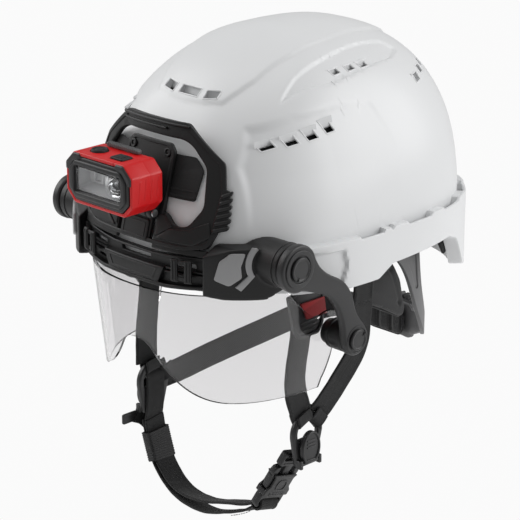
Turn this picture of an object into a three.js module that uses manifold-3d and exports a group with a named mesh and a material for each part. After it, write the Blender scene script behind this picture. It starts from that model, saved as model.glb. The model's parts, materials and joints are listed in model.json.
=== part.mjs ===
// Arborist helmet with a visor, a clip-on lamp, a head-size cradle and a chin strap.
// Millimetres. +Z is up, the front of the helmet is -Y, the wearer's left is +X.
// The origin is on the centre line, in the plane of the headband.
import * as THREE from "three";
import { mergeVertices } from "three/addons/utils/BufferGeometryUtils.js";
import Module from "manifold-3d";

const wasm = await Module();
wasm.setup();

// ---------------------------------------------------------------- driving dimensions
const GAP = 0.3; // clearance between neighbouring pieces

const SHELL = { halfWidth: 104.4, front: 134.8, rear: 134, height: 135.9, wall: 3.5 };
const PLAN_POWER = 2.7; // squareness of the shell's plan
const RISE = { side: 2.24, front: 1.9, rear: 2.77 }; // roundness of the shell's sections
const DEEP = -75; // below every rim

const SKIRT = { out: 6, top: 10, wall: 2, pocketFloor: -3 }; // band round the sides and back
const LINER = { out: -5.2, inside: -19, floor: -4, sides: 36, rings: 8 };

const HUB = { y: -99, z: 5, r: 15.7, inner: 72, outer: 110, bore: 5.4 }; // visor hub, axis along X
const PIVOT = { y: -42, z: -60, r: 11.5, bore: 3.4 }; // lens pivot, axis along X
const ARM = { inner: 110.5, outer: 117, cap: 119.2 };

const LENS = { halfWidth: 90, depth: 104, rearY: -43, wall: 2.2, power: 2.3, taper: 0.15 };
const LENS_TOP = -21.5;
const LENS_LOW = -103;

const CARRIER = { out: 8.5, top: 6, bottom: -19, halfWidth: 62 };
const CLIP = { from: 38, to: 54, low: -12, high: 5, thick: 2.7 }; // spring clip on the carrier
const MOUNT = { low: 9.5, high: 91, wall: 4, halfWidth: 112, depth: 141 }; // lamp mount frame
const LAMP = { halfWidth: 33, low: 36, high: 72, front: -172, back: -143, chamfer: 8 };
const LAMP_HINGE = { y: -139, z: 31, bore: 2 };
const BUTTON = { x: -13, y: -158, r: 6.1, high: 1.6 }; // round power button on top of the lamp
const BUTTON_TRAVEL = 1.2;

const CRADLE = { halfWidth: 22, low: -130, high: -102, corner: 10 }; // nape plate
const KNOB = { y: 138, z: -116, r: 14.5, bore: 4.3 };

const WEB = 20; // chin strap webbing width
const WEB_THICK = 1.8;
const CROWN_WEB = { wide: 18, thick: 1.4 };
const SLIDER_X = 75;
const SLIDER = { leftY: -50, rightY: -60, z: -142 };
const LEVER_PIN = { out: 4.6, down: 19 }; // the lever's axis, measured from the slider's middle

// Local frame of the buckle: z along the strap towards the slider, y across it, x through it.
const BUCKLE = { at: [58, -57, -177], up: [0.4, 0.24, 0.88] };

// ---------------------------------------------------------------- materials
const finish = (color, roughness, metalness = 0) => ({ color, roughness, metalness });
const WHITE = finish(0xe9eaea, 0.32);
const BLACK = finish(0x1a1b1c, 0.6);
const DARK = finish(0x35373a, 0.55);
const GREY = finish(0x6d6f71, 0.5);
const SILVER = finish(0x9a9c9e, 0.4);
const RED = finish(0xd40f16, 0.35);
const FOAM = finish(0x202122, 0.95);
const FABRIC = finish(0x17181a, 0.9);
const CLEAR = finish(0xe6f0f2, 0.05);
const STEEL = finish(0xb8babd, 0.3, 1);

// ---------------------------------------------------------------- solids
function solid(geometry) {
  const bare = geometry.clone();
  bare.deleteAttribute("normal");
  bare.deleteAttribute("uv");
  const merged = mergeVertices(bare, 1e-4);
  const vertProperties = new Float32Array(merged.attributes.position.array);
  const triVerts = new Uint32Array(merged.index.array);
  return new wasm.Manifold(new wasm.Mesh({ numProp: 3, vertProperties, triVerts }));
}

const join = (...pieces) => pieces.reduce((whole, piece) => whole.add(piece));
const cut = (piece, ...tools) => tools.reduce((left, tool) => left.subtract(tool), piece);
const common = (...pieces) => pieces.reduce((whole, piece) => whole.intersect(piece));

function geometryOf(body) {
  const { vertProperties, triVerts } = body.getMesh();
  const geometry = new THREE.BufferGeometry();
  geometry.setAttribute("position", new THREE.BufferAttribute(vertProperties, 3));
  geometry.setIndex(new THREE.BufferAttribute(triVerts, 1));
  const flat = geometry.toNonIndexed();
  flat.computeVertexNormals();
  return flat;
}

// A box between two corners.
function block([x0, y0, z0], [x1, y1, z1]) {
  const box = new THREE.BoxGeometry(x1 - x0, y1 - y0, z1 - z0);
  return solid(box.translate((x0 + x1) / 2, (y0 + y1) / 2, (z0 + z1) / 2));
}

// A round bar along X, Y or Z between two places on that axis.
function rod(axis, r, from, to, [a, b], sides = 24, rEnd = r) {
  const bar = new THREE.CylinderGeometry(rEnd, r, to - from, sides);
  const middle = (from + to) / 2;
  if (axis === "x") return solid(bar.rotateZ(-Math.PI / 2).translate(middle, a, b));
  if (axis === "z") return solid(bar.rotateX(Math.PI / 2).translate(a, b, middle));
  return solid(bar.translate(a, middle, b));
}

const outline = (points) => new THREE.Shape(points.map(([a, b]) => new THREE.Vector2(a, b)));

// A flat outline pushed along X (outline in y, z), along Y (in x, z) or along Z (in x, y).
function prism(axis, shape, from, to) {
  const drawn = Array.isArray(shape) ? outline(shape) : shape;
  const depth = to - from;
  const slab = new THREE.ExtrudeGeometry(drawn, { depth, bevelEnabled: false, curveSegments: 6 });
  if (axis === "x") return solid(slab.rotateX(Math.PI / 2).rotateZ(Math.PI / 2).translate(from, 0, 0));
  if (axis === "y") return solid(slab.rotateX(Math.PI / 2).translate(0, to, 0));
  return solid(slab.translate(0, 0, from));
}

const mirrorX = (body) => body.mirror([1, 0, 0]);

// A rounded rectangle, as a Shape centred on (a, b).
function rounded(a, b, halfWide, halfHigh, r) {
  const shape = new THREE.Shape();
  shape.moveTo(a - halfWide + r, b - halfHigh);
  shape.lineTo(a + halfWide - r, b - halfHigh);
  shape.absarc(a + halfWide - r, b - halfHigh + r, r, -Math.PI / 2, 0);
  shape.absarc(a + halfWide - r, b + halfHigh - r, r, 0, Math.PI / 2);
  shape.absarc(a - halfWide + r, b + halfHigh - r, r, Math.PI / 2, Math.PI);
  shape.absarc(a - halfWide + r, b - halfHigh + r, r, Math.PI, 1.5 * Math.PI);
  return shape;
}

// A turned blank whose rings become superellipses: size(z) gives half width, front and rear depth.
function superRing(profile, sides, power, size) {
  const lathe = new THREE.LatheGeometry(profile.map(([r, z]) => new THREE.Vector2(r, z)), sides);
  lathe.rotateX(Math.PI / 2);
  const place = lathe.attributes.position;
  for (let i = 0; i < place.count; i++) {
    const [x, y, z] = [place.getX(i), place.getY(i), place.getZ(i)];
    const r = Math.hypot(x, y);
    if (r < 1e-6) continue;
    const across = x / r;
    const along = y / r;
    const { wide, front, rear, centre = 0 } = size(z, r);
    const bend = (value) => Math.sign(value) * Math.abs(value) ** (2 / power);
    place.setX(i, wide * bend(across));
    place.setY(i, centre + (along < 0 ? front : rear) * bend(along));
  }
  return solid(lathe);
}

// The shell's form, grown outwards by `grow`, with straight walls below the rim plane.
function dome(grow, sides = 44, rings = 10) {
  const height = SHELL.height + grow;
  const profile = [[0, DEEP], [1, DEEP]];
  for (let i = 0; i < rings; i++) profile.push([1, height * Math.sin((i / rings) * (Math.PI / 2))]);
  profile.push([0, height]);
  const shrink = (z, power) => (1 - (Math.max(z, 0) / height) ** power) ** (1 / power);
  return superRing(profile, sides, PLAN_POWER, (z) => ({
    wide: (SHELL.halfWidth + grow) * shrink(z, RISE.side),
    front: (SHELL.front + grow) * shrink(z, RISE.front),
    rear: (SHELL.rear + grow) * shrink(z, RISE.rear),
  }));
}

// Webbing: a flat strip through `points`, with its width along the directions in `widths`.
function webbing(points, widths, wide = WEB, thick = WEB_THICK, steps = 12) {
  const path = new THREE.CatmullRomCurve3(points.map((p) => new THREE.Vector3(...p)));
  const lean = new THREE.CatmullRomCurve3(widths.map((w) => new THREE.Vector3(...w)));
  const strip = new THREE.BoxGeometry(1, 1, 1, steps, 1, 1);
  const place = strip.attributes.position;
  for (let i = 0; i < place.count; i++) {
    const t = THREE.MathUtils.clamp(place.getX(i) + 0.5, 0, 1);
    const along = path.getTangent(t);
    const across = lean.getPoint(t);
    across.addScaledVector(along, -across.dot(along)).normalize();
    const out = new THREE.Vector3().crossVectors(along, across);
    const spot = path.getPoint(t);
    spot.addScaledVector(across, place.getY(i) * wide);
    spot.addScaledVector(out, place.getZ(i) * thick);
    place.setXYZ(i, spot.x, spot.y, spot.z);
  }
  return solid(strip);
}

// ---------------------------------------------------------------- the assembly
const helmet = new THREE.Group();
helmet.name = "arborist_helmet";

function add(name, body, look, parent = helmet) {
  const mesh = new THREE.Mesh(geometryOf(body), new THREE.MeshStandardMaterial(look));
  mesh.name = name;
  parent.add(mesh);
  return mesh;
}

function addPair(name, body, look) {
  add(`${name}_left`, body, look);
  add(`${name}_right`, mirrorX(body), look);
}

const form = dome(0);
const clearOfShell = dome(0.6);

// ---------------------------------------------------------------- shell
function rimKeep() {
  return prism("x", [
    [-170, 170], [-170, -19], [-100, -21], [-44, -25.2], [-12, -25.2], [2, -17], [66, -14.8],
    [74, -20], [92, -45], [108, -50], [170, -50], [170, 170],
  ], -130, 130);
}

function skirt() {
  const region = prism("x", [
    [-96, DEEP], [-78, SKIRT.top], [-40, SKIRT.top - 2], [-34, SKIRT.top], [170, SKIRT.top],
    [170, DEEP],
  ], -130, 130);
  const outer = common(dome(SKIRT.out), region);
  const pocketRegion = prism("x", [
    [-33, SKIRT.pocketFloor], [-33, 30], [170, 30], [170, SKIRT.pocketFloor],
  ], -130, 130);
  const pockets = common(cut(dome(SKIRT.out - SKIRT.wall), form), pocketRegion);
  const ribs = [-10, 14, 40, 66, 92].map((y) => block([-130, y - 1.2, -40], [130, y + 1.2, 20]));
  const rearRibs = [-45, 0, 45].map((x) => block([x - 1.2, 90, -40], [x + 1.2, 160, 20]));
  return cut(outer, cut(pockets, ...ribs, ...rearRibs));
}

// Each vent is a slot through the wall, aimed along the surface's own direction.
function ventTool(x, y, z, wide, high, aim, roll = 0, depth = 40) {
  const slot = new THREE.BoxGeometry(wide, depth, high);
  slot.rotateY(roll);
  const turn = new THREE.Quaternion().setFromUnitVectors(
    new THREE.Vector3(0, -1, 0), new THREE.Vector3(...aim).normalize());
  slot.applyQuaternion(turn);
  return solid(slot.translate(x, y, z));
}

function vents() {
  const tools = [];
  for (const [x, wide] of [[-20, 12], [0, 19], [20, 12]]) {
    tools.push(ventTool(x, -85, 102.5, wide, 7.4, [x / 110, -0.66, 0.75]));
  }
  for (const side of [-1, 1]) {
    const sideVents = [[70, -83, 77.5], [78, -67.5, 79.5], [82.5, -52.5, 82], [84, -38.5, 85.5]];
    for (const [x, y, z] of sideVents) {
      tools.push(ventTool(side * x, y, z, 11, 8, [side * 0.82, -0.35, 0.45], side * 0.12));
    }
    const crownVents = [[63, -6.5, 114], [62.5, 9, 114.6], [61.5, 22, 115]];
    for (const [x, y, z] of crownVents) {
      tools.push(ventTool(side * x, y, z, 7, 5, [side * 0.62, -0.02, 0.78]));
    }
    const rearVents = [[54, 88, 102], [62, 79.5, 100], [70, 68, 97.5]];
    for (const [x, y, z] of rearVents) {
      tools.push(ventTool(side * x, y, z, 8, 6, [side * 0.5, 0.55, 0.65]));
    }
  }
  return tools;
}

// A low plateau along the crown.
const crest = () => common(dome(1.6), block([-38, -62, 112], [38, 100, 150]));

function shell() {
  const outside = join(form, crest(), skirt());
  const hollow = dome(-SHELL.wall);
  return common(cut(outside, hollow, ...vents()), rimKeep());
}

function foamLiner() {
  const slab = cut(dome(LINER.out, LINER.sides, LINER.rings), dome(LINER.inside, LINER.sides, LINER.rings));
  return common(slab, block([-130, -160, LINER.floor], [130, 160, 160]));
}

// ---------------------------------------------------------------- suspension
function headRing(wide, deep, wall, low, high, sides = 40) {
  const outer = superRing([[0, low], [1, low], [1, high], [0, high]], sides, 2.2,
    () => ({ wide, front: deep, rear: deep }));
  const inner = superRing([[0, low - 1], [1, low - 1], [1, high + 1], [0, high + 1]], sides, 2.2,
    () => ({ wide: wide - wall, front: deep - wall, rear: deep - wall }));
  return cut(outer, inner);
}

// Four hangers stand on the headband and hook into the liner above it.
function hangers() {
  const bend = (value) => Math.sign(value) * Math.abs(value) ** (2 / 2.2);
  return [44, 136, -44, -136].map((degrees) => {
    const angle = THREE.MathUtils.degToRad(degrees);
    const x = 77 * bend(Math.cos(angle));
    const y = 99 * bend(Math.sin(angle));
    const post = new THREE.BoxGeometry(3.2, 12, 34);
    post.rotateZ(Math.atan2(y / 1.4, x));
    return solid(post.translate(x, y, 9));
  });
}

function crownWebbing() {
  const strap = (points, width) => webbing(points, [width, width], CROWN_WEB.wide, CROWN_WEB.thick, 16);
  const long = strap([
    [0, -94, 16], [0, -86, 60], [0, -52, 92], [0, 0, 104], [0, 52, 92], [0, 86, 60], [0, 94, 16],
  ], [1, 0, 0]);
  const across = strap([
    [-72, 0, 16], [-69, 0, 55], [-44, 0, 89], [0, 0, 104], [44, 0, 89], [69, 0, 55], [72, 0, 16],
  ], [0, 1, 0]);
  return join(long, across);
}

function suspension() {
  add("foam_liner", foamLiner(), FOAM);
  add("headband", join(headRing(78, 100, 2.4, -16, 14), ...hangers()), DARK);
  const brow = common(headRing(75.2, 97.2, 7, -17, 13), block([-58, -110, -20], [58, -60, 20]));
  add("brow_pad", brow, FOAM);
  add("crown_webbing", crownWebbing(), FABRIC);
  add("crown_pad", superRing([[0, 90], [1, 90], [1, 97], [0, 97]], 24, 2.4,
    () => ({ wide: 26, front: 34, rear: 34 })), FOAM);
}

// ---------------------------------------------------------------- nape cradle
function napePlateForm(grow, low, high) {
  return superRing([[0, low], [1, low], [1, high], [0, high]], 40, 2.3,
    () => ({ wide: 72 + grow, front: 100 + grow, rear: 100 + grow, centre: 24 }));
}

function napeFrame() {
  const wall = cut(napePlateForm(2.6, -140, -18), napePlateForm(0, -141, -17));
  const halfHigh = (CRADLE.high - CRADLE.low) / 2;
  const middle = CRADLE.low + halfHigh;
  const plate = prism("y", rounded(0, middle, CRADLE.halfWidth, halfHigh, CRADLE.corner), 60, 160);
  const arm = prism("x", [
    [40, -18], [78, -18], [80, -34], [84, -60], [96, -92], [122, -104], [122, -122], [104, -124],
    [88, -106], [72, -76], [62, -50], [44, -34],
  ], -100, 100);
  const reach = block([-100, 30, -141], [100, 140, -17]);
  return common(wall, join(common(arm, reach), plate));
}

function sidePad() {
  const wedge = prism("x", [
    [14, -40], [34, -30], [50, -38], [61, -54], [69, -78], [64, -86], [14, -60],
  ], 40, 90);
  return common(wedge, cut(napePlateForm(-0.6, -90, -20), napePlateForm(-9, -91, -19)));
}

function napeCradle() {
  const bore = rod("y", KNOB.bore, 100, 150, [0, KNOB.z]);
  add("nape_frame", cut(napeFrame(), bore), GREY);
  const pad = common(cut(napePlateForm(-0.4, -129, -103), napePlateForm(-7, -130, -102)),
    prism("y", rounded(0, KNOB.z, 19, 12, 8), 60, 160));
  add("nape_pad", pad, FOAM);
  addPair("side_pad", sidePad(), FOAM);
  const box = prism("y", rounded(0, KNOB.z, 17, 12.5, 8), 127.2, KNOB.y - 4);
  const gearRoom = rod("y", 8.6, 126, KNOB.y - 6, [0, KNOB.z]);
  add("ratchet_housing", cut(box, rod("y", KNOB.bore, 120, 140, [0, KNOB.z]), gearRoom), DARK);
}

function napeKnob() {
  const grips = [];
  for (let i = 0; i < 12; i++) {
    const angle = (i / 12) * 2 * Math.PI;
    const spot = [(KNOB.r + 1) * Math.cos(angle), KNOB.z + (KNOB.r + 1) * Math.sin(angle)];
    grips.push(rod("y", 1.9, KNOB.y - 5, KNOB.y + 9, spot, 6));
  }
  const wheel = cut(rod("y", KNOB.r, KNOB.y - 3.6, KNOB.y + 5, [0, KNOB.z], 24), ...grips);
  const stem = rod("y", 4, 128, KNOB.y - 3, [0, KNOB.z]);
  const teeth = prism("y", gearOutline(8, 8, 6.2, KNOB.z), 129, KNOB.y - 7);
  add("ratchet_knob", join(wheel, stem), DARK);
  add("ratchet_pinion", cut(teeth, rod("y", KNOB.bore, 120, 140, [0, KNOB.z], 16)), STEEL);
}

function gearOutline(teeth, tip, root, z) {
  const points = [];
  for (let i = 0; i < teeth * 4; i++) {
    const r = i % 4 < 2 ? tip : root;
    const angle = ((i + 0.5) / (teeth * 4)) * 2 * Math.PI;
    points.push([r * Math.cos(angle), z + r * Math.sin(angle)]);
  }
  return points;
}

// ---------------------------------------------------------------- visor carrier and hubs
function carrierBar() {
  const bar = common(cut(dome(CARRIER.out), clearOfShell), prism("y", [
    [-CARRIER.halfWidth, CARRIER.bottom + 3], [-30, CARRIER.bottom], [30, CARRIER.bottom],
    [CARRIER.halfWidth, CARRIER.bottom + 3], [CARRIER.halfWidth, CARRIER.top + 1], [20, CARRIER.top - 2],
    [-20, CARRIER.top - 2], [-CARRIER.halfWidth, CARRIER.top + 1],
  ], -170, -60));
  const slots = [-24, -8, 8, 24].map((x) => block([x - 5.5, -170, -4], [x + 5.5, -120, -0.2]));
  return cut(bar, ...slots);
}

function hubHousing() {
  const side = prism("x", [
    [-140, -18], [-140, 8], [-124, 16], [-86, 18], [-84, 2], [-97, -14], [-108, -20.5], [-128, -20.5],
  ], CARRIER.halfWidth + GAP, 104);
  const body = common(side, dome(13));
  const drum = rod("x", HUB.r, HUB.inner, HUB.outer, [HUB.y, HUB.z], 32);
  const bore = rod("x", HUB.bore, 99, HUB.outer + 1, [HUB.y, HUB.z]);
  return cut(join(body, drum), clearOfShell, bore);
}

function armOutline() {
  const shape = new THREE.Shape();
  shape.moveTo(HUB.y + 14, HUB.z + 4);
  shape.bezierCurveTo(-78, -2, -70, -4, -62, -8);
  shape.bezierCurveTo(-50, -13, -42, -22, -39, -36);
  shape.lineTo(PIVOT.y + PIVOT.r, PIVOT.z + 2);
  shape.lineTo(PIVOT.y - PIVOT.r, PIVOT.z - 1);
  shape.lineTo(-56, -42);
  shape.bezierCurveTo(-60, -28, -68, -21, -76, -18);
  shape.lineTo(HUB.y + 2, HUB.z - 16);
  return shape;
}

function arm() {
  const plate = join(
    prism("x", armOutline(), ARM.inner, ARM.outer),
    rod("x", HUB.r + 0.8, ARM.inner, ARM.outer, [HUB.y, HUB.z], 32),
    rod("x", PIVOT.r, ARM.inner, ARM.outer, [PIVOT.y, PIVOT.z], 28));
  return cut(plate, rod("x", HUB.bore, 100, 120, [HUB.y, HUB.z]),
    rod("x", PIVOT.bore, 100, 120, [PIVOT.y, PIVOT.z]));
}

const capPin = (capR, pinR, from, { y, z }) => join(
  rod("x", pinR, from, ARM.outer + 1, [y, z]),
  rod("x", capR, ARM.outer + GAP, ARM.cap, [y, z], 28));

function visorLinks() {
  addPair("arm", arm(), DARK);
  addPair("hub_cap", capPin(10.5, HUB.bore - GAP, 100, HUB), DARK);
  addPair("pivot_cap", capPin(8.2, PIVOT.bore - GAP, 101, PIVOT), GREY);
}

// ---------------------------------------------------------------- lens
function lensForm(shrink) {
  const size = (z) => {
    const down = Math.max(0, LENS_TOP - z);
    const depth = LENS.depth - LENS.taper * down - shrink;
    const wide = LENS.halfWidth - 0.02 * down - shrink;
    return { wide, front: depth, rear: depth, centre: LENS.rearY };
  };
  const profile = [[0, LENS_LOW - 8]];
  for (let z = LENS_LOW - 8; z < -10; z += 22) profile.push([1, z]);
  profile.push([1, -8], [0, -8]);
  return superRing(profile, 44, LENS.power, size);
}

function lensFront() {
  const shape = new THREE.Shape();
  shape.moveTo(-110, LENS_TOP);
  shape.lineTo(110, LENS_TOP);
  shape.lineTo(110, -97);
  shape.quadraticCurveTo(80, -103.5, 62, -102.5);
  shape.bezierCurveTo(42, -101, 26, -86, 17, -72);
  shape.quadraticCurveTo(11, -62.5, 0, -62.5);
  shape.quadraticCurveTo(-11, -62.5, -17, -72);
  shape.bezierCurveTo(-26, -86, -42, -101, -62, -102.5);
  shape.quadraticCurveTo(-80, -103.5, -110, -97);
  return shape;
}

function lensSide() {
  const shape = new THREE.Shape();
  shape.moveTo(-170, LENS_TOP + 4);
  shape.lineTo(-84, LENS_TOP + 4);
  shape.bezierCurveTo(-74, -30, -66, -42, -56, -49);
  shape.absarc(PIVOT.y, PIVOT.z, 14, 2.3, -1.1, true);
  shape.quadraticCurveTo(-40, -88, -46, -95);
  shape.quadraticCurveTo(-49, -110, -60, -112);
  shape.lineTo(-170, -112);
  return shape;
}

function lens() {
  const sheet = cut(lensForm(0), lensForm(LENS.wall));
  const trimmed = common(sheet, prism("y", lensFront(), -170, -20), prism("x", lensSide(), -110, 110));
  return cut(trimmed, rod("x", 3.6, -110, 110, [PIVOT.y, PIVOT.z]));
}

function lensParts() {
  add("lens", lens(), CLEAR);
  const boss = cut(
    join(rod("x", PIVOT.r - 0.5, 96, ARM.inner - GAP, [PIVOT.y, PIVOT.z], 28),
      rod("x", 9, LENS.halfWidth + 0.4, 96.5, [PIVOT.y, PIVOT.z], 28)),
    rod("x", PIVOT.bore, 100, 112, [PIVOT.y, PIVOT.z]));
  addPair("lens_boss", boss, DARK);
}

// ---------------------------------------------------------------- lamp mount
function mountForm(shrink) {
  const size = (z) => {
    const up = z - MOUNT.low;
    const front = MOUNT.depth - 0.278 * up - shrink;
    return { wide: MOUNT.halfWidth - 0.38 * up - shrink, front, rear: front };
  };
  return superRing([[0, 0], [1, 0], [1, 100], [0, 100]], 48, PLAN_POWER, size);
}

function lampMount() {
  const plate = cut(mountForm(0), mountForm(MOUNT.wall));
  const octagon = prism("y", [
    [-27, MOUNT.high], [27, MOUNT.high], [34, 86], [55, 70], [60, 62], [67, 28], [60, 12], [44, MOUNT.low],
    [-44, MOUNT.low], [-60, 12], [-67, 28], [-60, 62], [-55, 70], [-34, 86],
  ], -170, -60);
  const window = prism("y", [
    [-30, 79], [30, 79], [48, 64], [52, 30], [40, 20], [-40, 20], [-52, 30], [-48, 64],
  ], -170, -60);
  const ridge = common(cut(mountForm(-3), mountForm(1)), block([-34, -160, 84], [34, -60, 88]));
  const grips = [];
  for (const side of [-1, 1]) {
    for (let z = 24; z <= 42; z += 6) {
      grips.push(common(cut(mountForm(-2), mountForm(1)),
        block([Math.min(side * 55, side * 66), -160, z], [Math.max(side * 55, side * 66), -60, z + 2.4])));
    }
  }
  const tab = common(cut(mountForm(-1.5), mountForm(2)), block([-14, -160, MOUNT.low], [14, -60, 24]));
  return cut(join(cut(common(plate, octagon), window), ridge, tab, ...grips), clearOfShell);
}

function latchClips() {
  const layer = cut(dome(CARRIER.out + GAP + CLIP.thick), dome(CARRIER.out + GAP));
  const clip = common(layer, block([CLIP.from, -170, CLIP.low], [CLIP.to, -60, CLIP.high]));
  const opening = block([CLIP.from + 5, -170, CLIP.low + 5], [CLIP.to - 5, -60, CLIP.high - 5]);
  addPair("latch_clip", cut(clip, opening), BLACK);
}

function elasticStrap() {
  const layer = cut(mountForm(MOUNT.wall + 0.4), mountForm(MOUNT.wall + 1.8));
  return cut(common(layer, block([-58, -170, 40], [58, -60, 66])), clearOfShell);
}

// ---------------------------------------------------------------- lamp
function bracket() {
  const { y, z } = LAMP_HINGE;
  const edge = prism("y", [[-23, 26], [23, 26], [23, 72], [18, 77], [-18, 77], [-23, 72]], -150, -100);
  const plate = common(cut(mountForm(0.5), mountForm(3.2)), edge);
  const ears = [[-19, -14.5], [14.5, 19]].map(([from, to]) =>
    join(rod("x", 4, from, to, [y, z], 16), block([from, y, z - 4], [to, -133, z + 4])));
  const rivets = [-17, 17].map((x) => rod("y", 2.6, -125.4, -122, [x, 70], 16));
  return cut(join(plate, ...ears, ...rivets), rod("x", LAMP_HINGE.bore, -30, 30, [y, z], 16));
}

function lampOutline(shrink, low = LAMP.low, high = LAMP.high, c = LAMP.chamfer) {
  const [w, l, h] = [LAMP.halfWidth - shrink, low + shrink, high - shrink];
  return [[-w, l + c], [-w + c, l], [w - c, l], [w, l + c], [w, h - c], [w - c, h], [-w + c, h], [-w, h - c]];
}

function lampHousing() {
  const body = prism("y", lampOutline(0), LAMP.front + 4.5, LAMP.back);
  const pocket = block([-24, LAMP.front, 44], [24, LAMP.front + 17, 64.5]);
  const roundWell = rod("z", BUTTON.r + GAP, LAMP.high - 4, LAMP.high + 2, [BUTTON.x, BUTTON.y]);
  const squareWell = block([4.6, -165.4, LAMP.high - 4], [17.4, -154.6, LAMP.high + 2]);
  return cut(body, pocket, roundWell, squareWell);
}

function lampRear() {
  const { y, z } = LAMP_HINGE;
  const caseBody = prism("y", lampOutline(6), LAMP.back + GAP, -135.8);
  const knuckle = join(rod("x", 4, -14, 14, [y, z], 16), block([-14, y - 3.5, z], [14, y + 2, 43]));
  return cut(join(caseBody, knuckle), rod("x", LAMP_HINGE.bore, -30, 30, [y, z], 16));
}

function lampParts() {
  add("lamp_bracket", bracket(), BLACK);
  add("lamp_hinge_pin", rod("x", 1.8, -20, 20, [LAMP_HINGE.y, LAMP_HINGE.z], 16), STEEL);
  add("lamp_housing", lampHousing(), RED);
  add("lamp_rear_case", lampRear(), BLACK);
  const window = [[-22.5, 45.5], [22.5, 45.5], [22.5, 62.5], [-22.5, 62.5]];
  const ring = prism("y", lampOutline(1), LAMP.front + 1.5, LAMP.front + 4.2);
  const lip = prism("y", lampOutline(4.5), LAMP.front - 1, LAMP.front + 2);
  add("lamp_bezel", cut(join(ring, lip), prism("y", window, LAMP.front - 3, LAMP.front + 6)), DARK);
  add("lamp_window", block([-22.2, LAMP.front + 0.5, 45.8], [22.2, LAMP.front + 2.5, 62.2]), CLEAR);
  const tray = cut(block([-23.7, LAMP.front + 5, 44.3], [23.7, LAMP.front + 16.7, 64.2]),
    block([-21.8, LAMP.front, 46], [21.8, LAMP.front + 14.5, 62.3]));
  add("lamp_reflector", tray, SILVER);
  add("spot_optic", rod("y", 7.6, LAMP.front + 6, LAMP.front + 14.2, [10, 54], 24, 4), CLEAR);
  add("flood_light", block([-15, LAMP.front + 12, 50.5], [-8, LAMP.front + 14.2, 57.5]), SILVER);
  add("battery_latch", block([-18, -148, LAMP.high + GAP], [14, -144, LAMP.high + 3.2]), GREY);
  const [low, high] = [LAMP.high - 4 + BUTTON_TRAVEL + GAP, LAMP.high + BUTTON.high];
  add("power_button", rod("z", BUTTON.r, low, high, [BUTTON.x, BUTTON.y]), DARK);
  add("mode_button", block([4.9, -165.1, low], [17.1, -154.9, high]), DARK);
}

// ---------------------------------------------------------------- chin strap
function sliderBody(y, side) {
  const z = SLIDER.z;
  const shape = new THREE.Shape();
  shape.moveTo(y - 9, z - 22);
  shape.lineTo(y + 11, z - 22);
  shape.lineTo(y + 17, z + 2);
  shape.absarc(y + 2, z + 3, 15, 0, Math.PI);
  shape.lineTo(y - 13, z + 2);
  const window = new THREE.Path();
  window.absarc(y + 2, z + 3, 10, 0, Math.PI);
  window.lineTo(y - 8, z - 1);
  window.lineTo(y + 12, z - 1);
  shape.holes.push(window);
  const plate = prism("x", shape, SLIDER_X - 2.2, SLIDER_X + 2.2);
  const lugs = [y - 8.4, y + 10.4].map((middle) =>
    block([SLIDER_X + 2, middle - 1.3, z - 22], [SLIDER_X + 6.5, middle + 1.3, z - 16]));
  const bar = rod("y", 1.4, y - 8, y + 10, [SLIDER_X + LEVER_PIN.out, z - LEVER_PIN.down], 12);
  const body = join(plate, ...lugs, bar);
  return side > 0 ? body : mirrorX(body);
}

function camLever(y, side) {
  const z = SLIDER.z - 8;
  const oval = new THREE.Shape();
  oval.absellipse(y + 1, z, 8.2, 13, 0, 2 * Math.PI);
  const cap = prism("x", oval, SLIDER_X + 2.6, SLIDER_X + 7);
  const pin = [SLIDER_X + LEVER_PIN.out, SLIDER.z - LEVER_PIN.down];
  const foot = block([SLIDER_X - 5, y - 12, z - 20], [SLIDER_X + 12, y + 14, SLIDER.z - 20]);
  const body = cut(cap, rod("y", 1.8, y - 10, y + 12, pin, 14), foot);
  return side > 0 ? body : mirrorX(body);
}

function buckleFrame() {
  const up = new THREE.Vector3(...BUCKLE.up).normalize();
  const across = new THREE.Vector3(0.1, 1, 0);
  across.addScaledVector(up, -across.dot(up)).normalize();
  const through = new THREE.Vector3().crossVectors(across, up);
  const group = new THREE.Group();
  group.setRotationFromMatrix(new THREE.Matrix4().makeBasis(through, across, up));
  group.position.set(...BUCKLE.at);
  helmet.add(group);
  return group;
}

function buckle() {
  const group = buckleFrame();
  const socket = cut(
    join(block([-4.8, -12.5, -14], [4.8, 12.5, 5]), prism("x", rounded(0, -19, 12.5, 7, 4), -3.4, 3.4)),
    block([-3.2, -13, -9.5], [3.2, 13, 6]), prism("x", rounded(0, -20, 9.6, 2.2, 1.5), -6, 6));
  add("buckle_socket", socket, DARK, group);
  const plug = cut(
    join(block([-2.8, -11, 12], [2.8, 11, 24]), block([-2.6, -3.6, -8], [2.6, 3.6, 12.5])),
    block([-6, -8.8, 17.5], [6, 8.8, 21]));
  add("buckle_plug", plug, DARK, group);
  for (const side of [-1, 1]) {
    const shape = new THREE.Shape();
    shape.moveTo(side * 7.4, -8);
    shape.lineTo(side * 11.8, -8);
    shape.lineTo(side * 11.8, 3);
    shape.quadraticCurveTo(side * 15, 7, side * 10.6, 11.6);
    shape.lineTo(side * 7.4, 11.6);
    add(side > 0 ? "buckle_tab_rear" : "buckle_tab_front", prism("x", shape, -2.6, 2.6), DARK, group);
  }
}

function strapGuard(side) {
  const shape = [[-76, -30], [-44, -30], [-46, -58], [-50, -64], [-66, -64], [-70, -58]];
  const plate = prism("x", shape, 79.2, 82.2);
  return side > 0 ? plate : mirrorX(plate);
}

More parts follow.
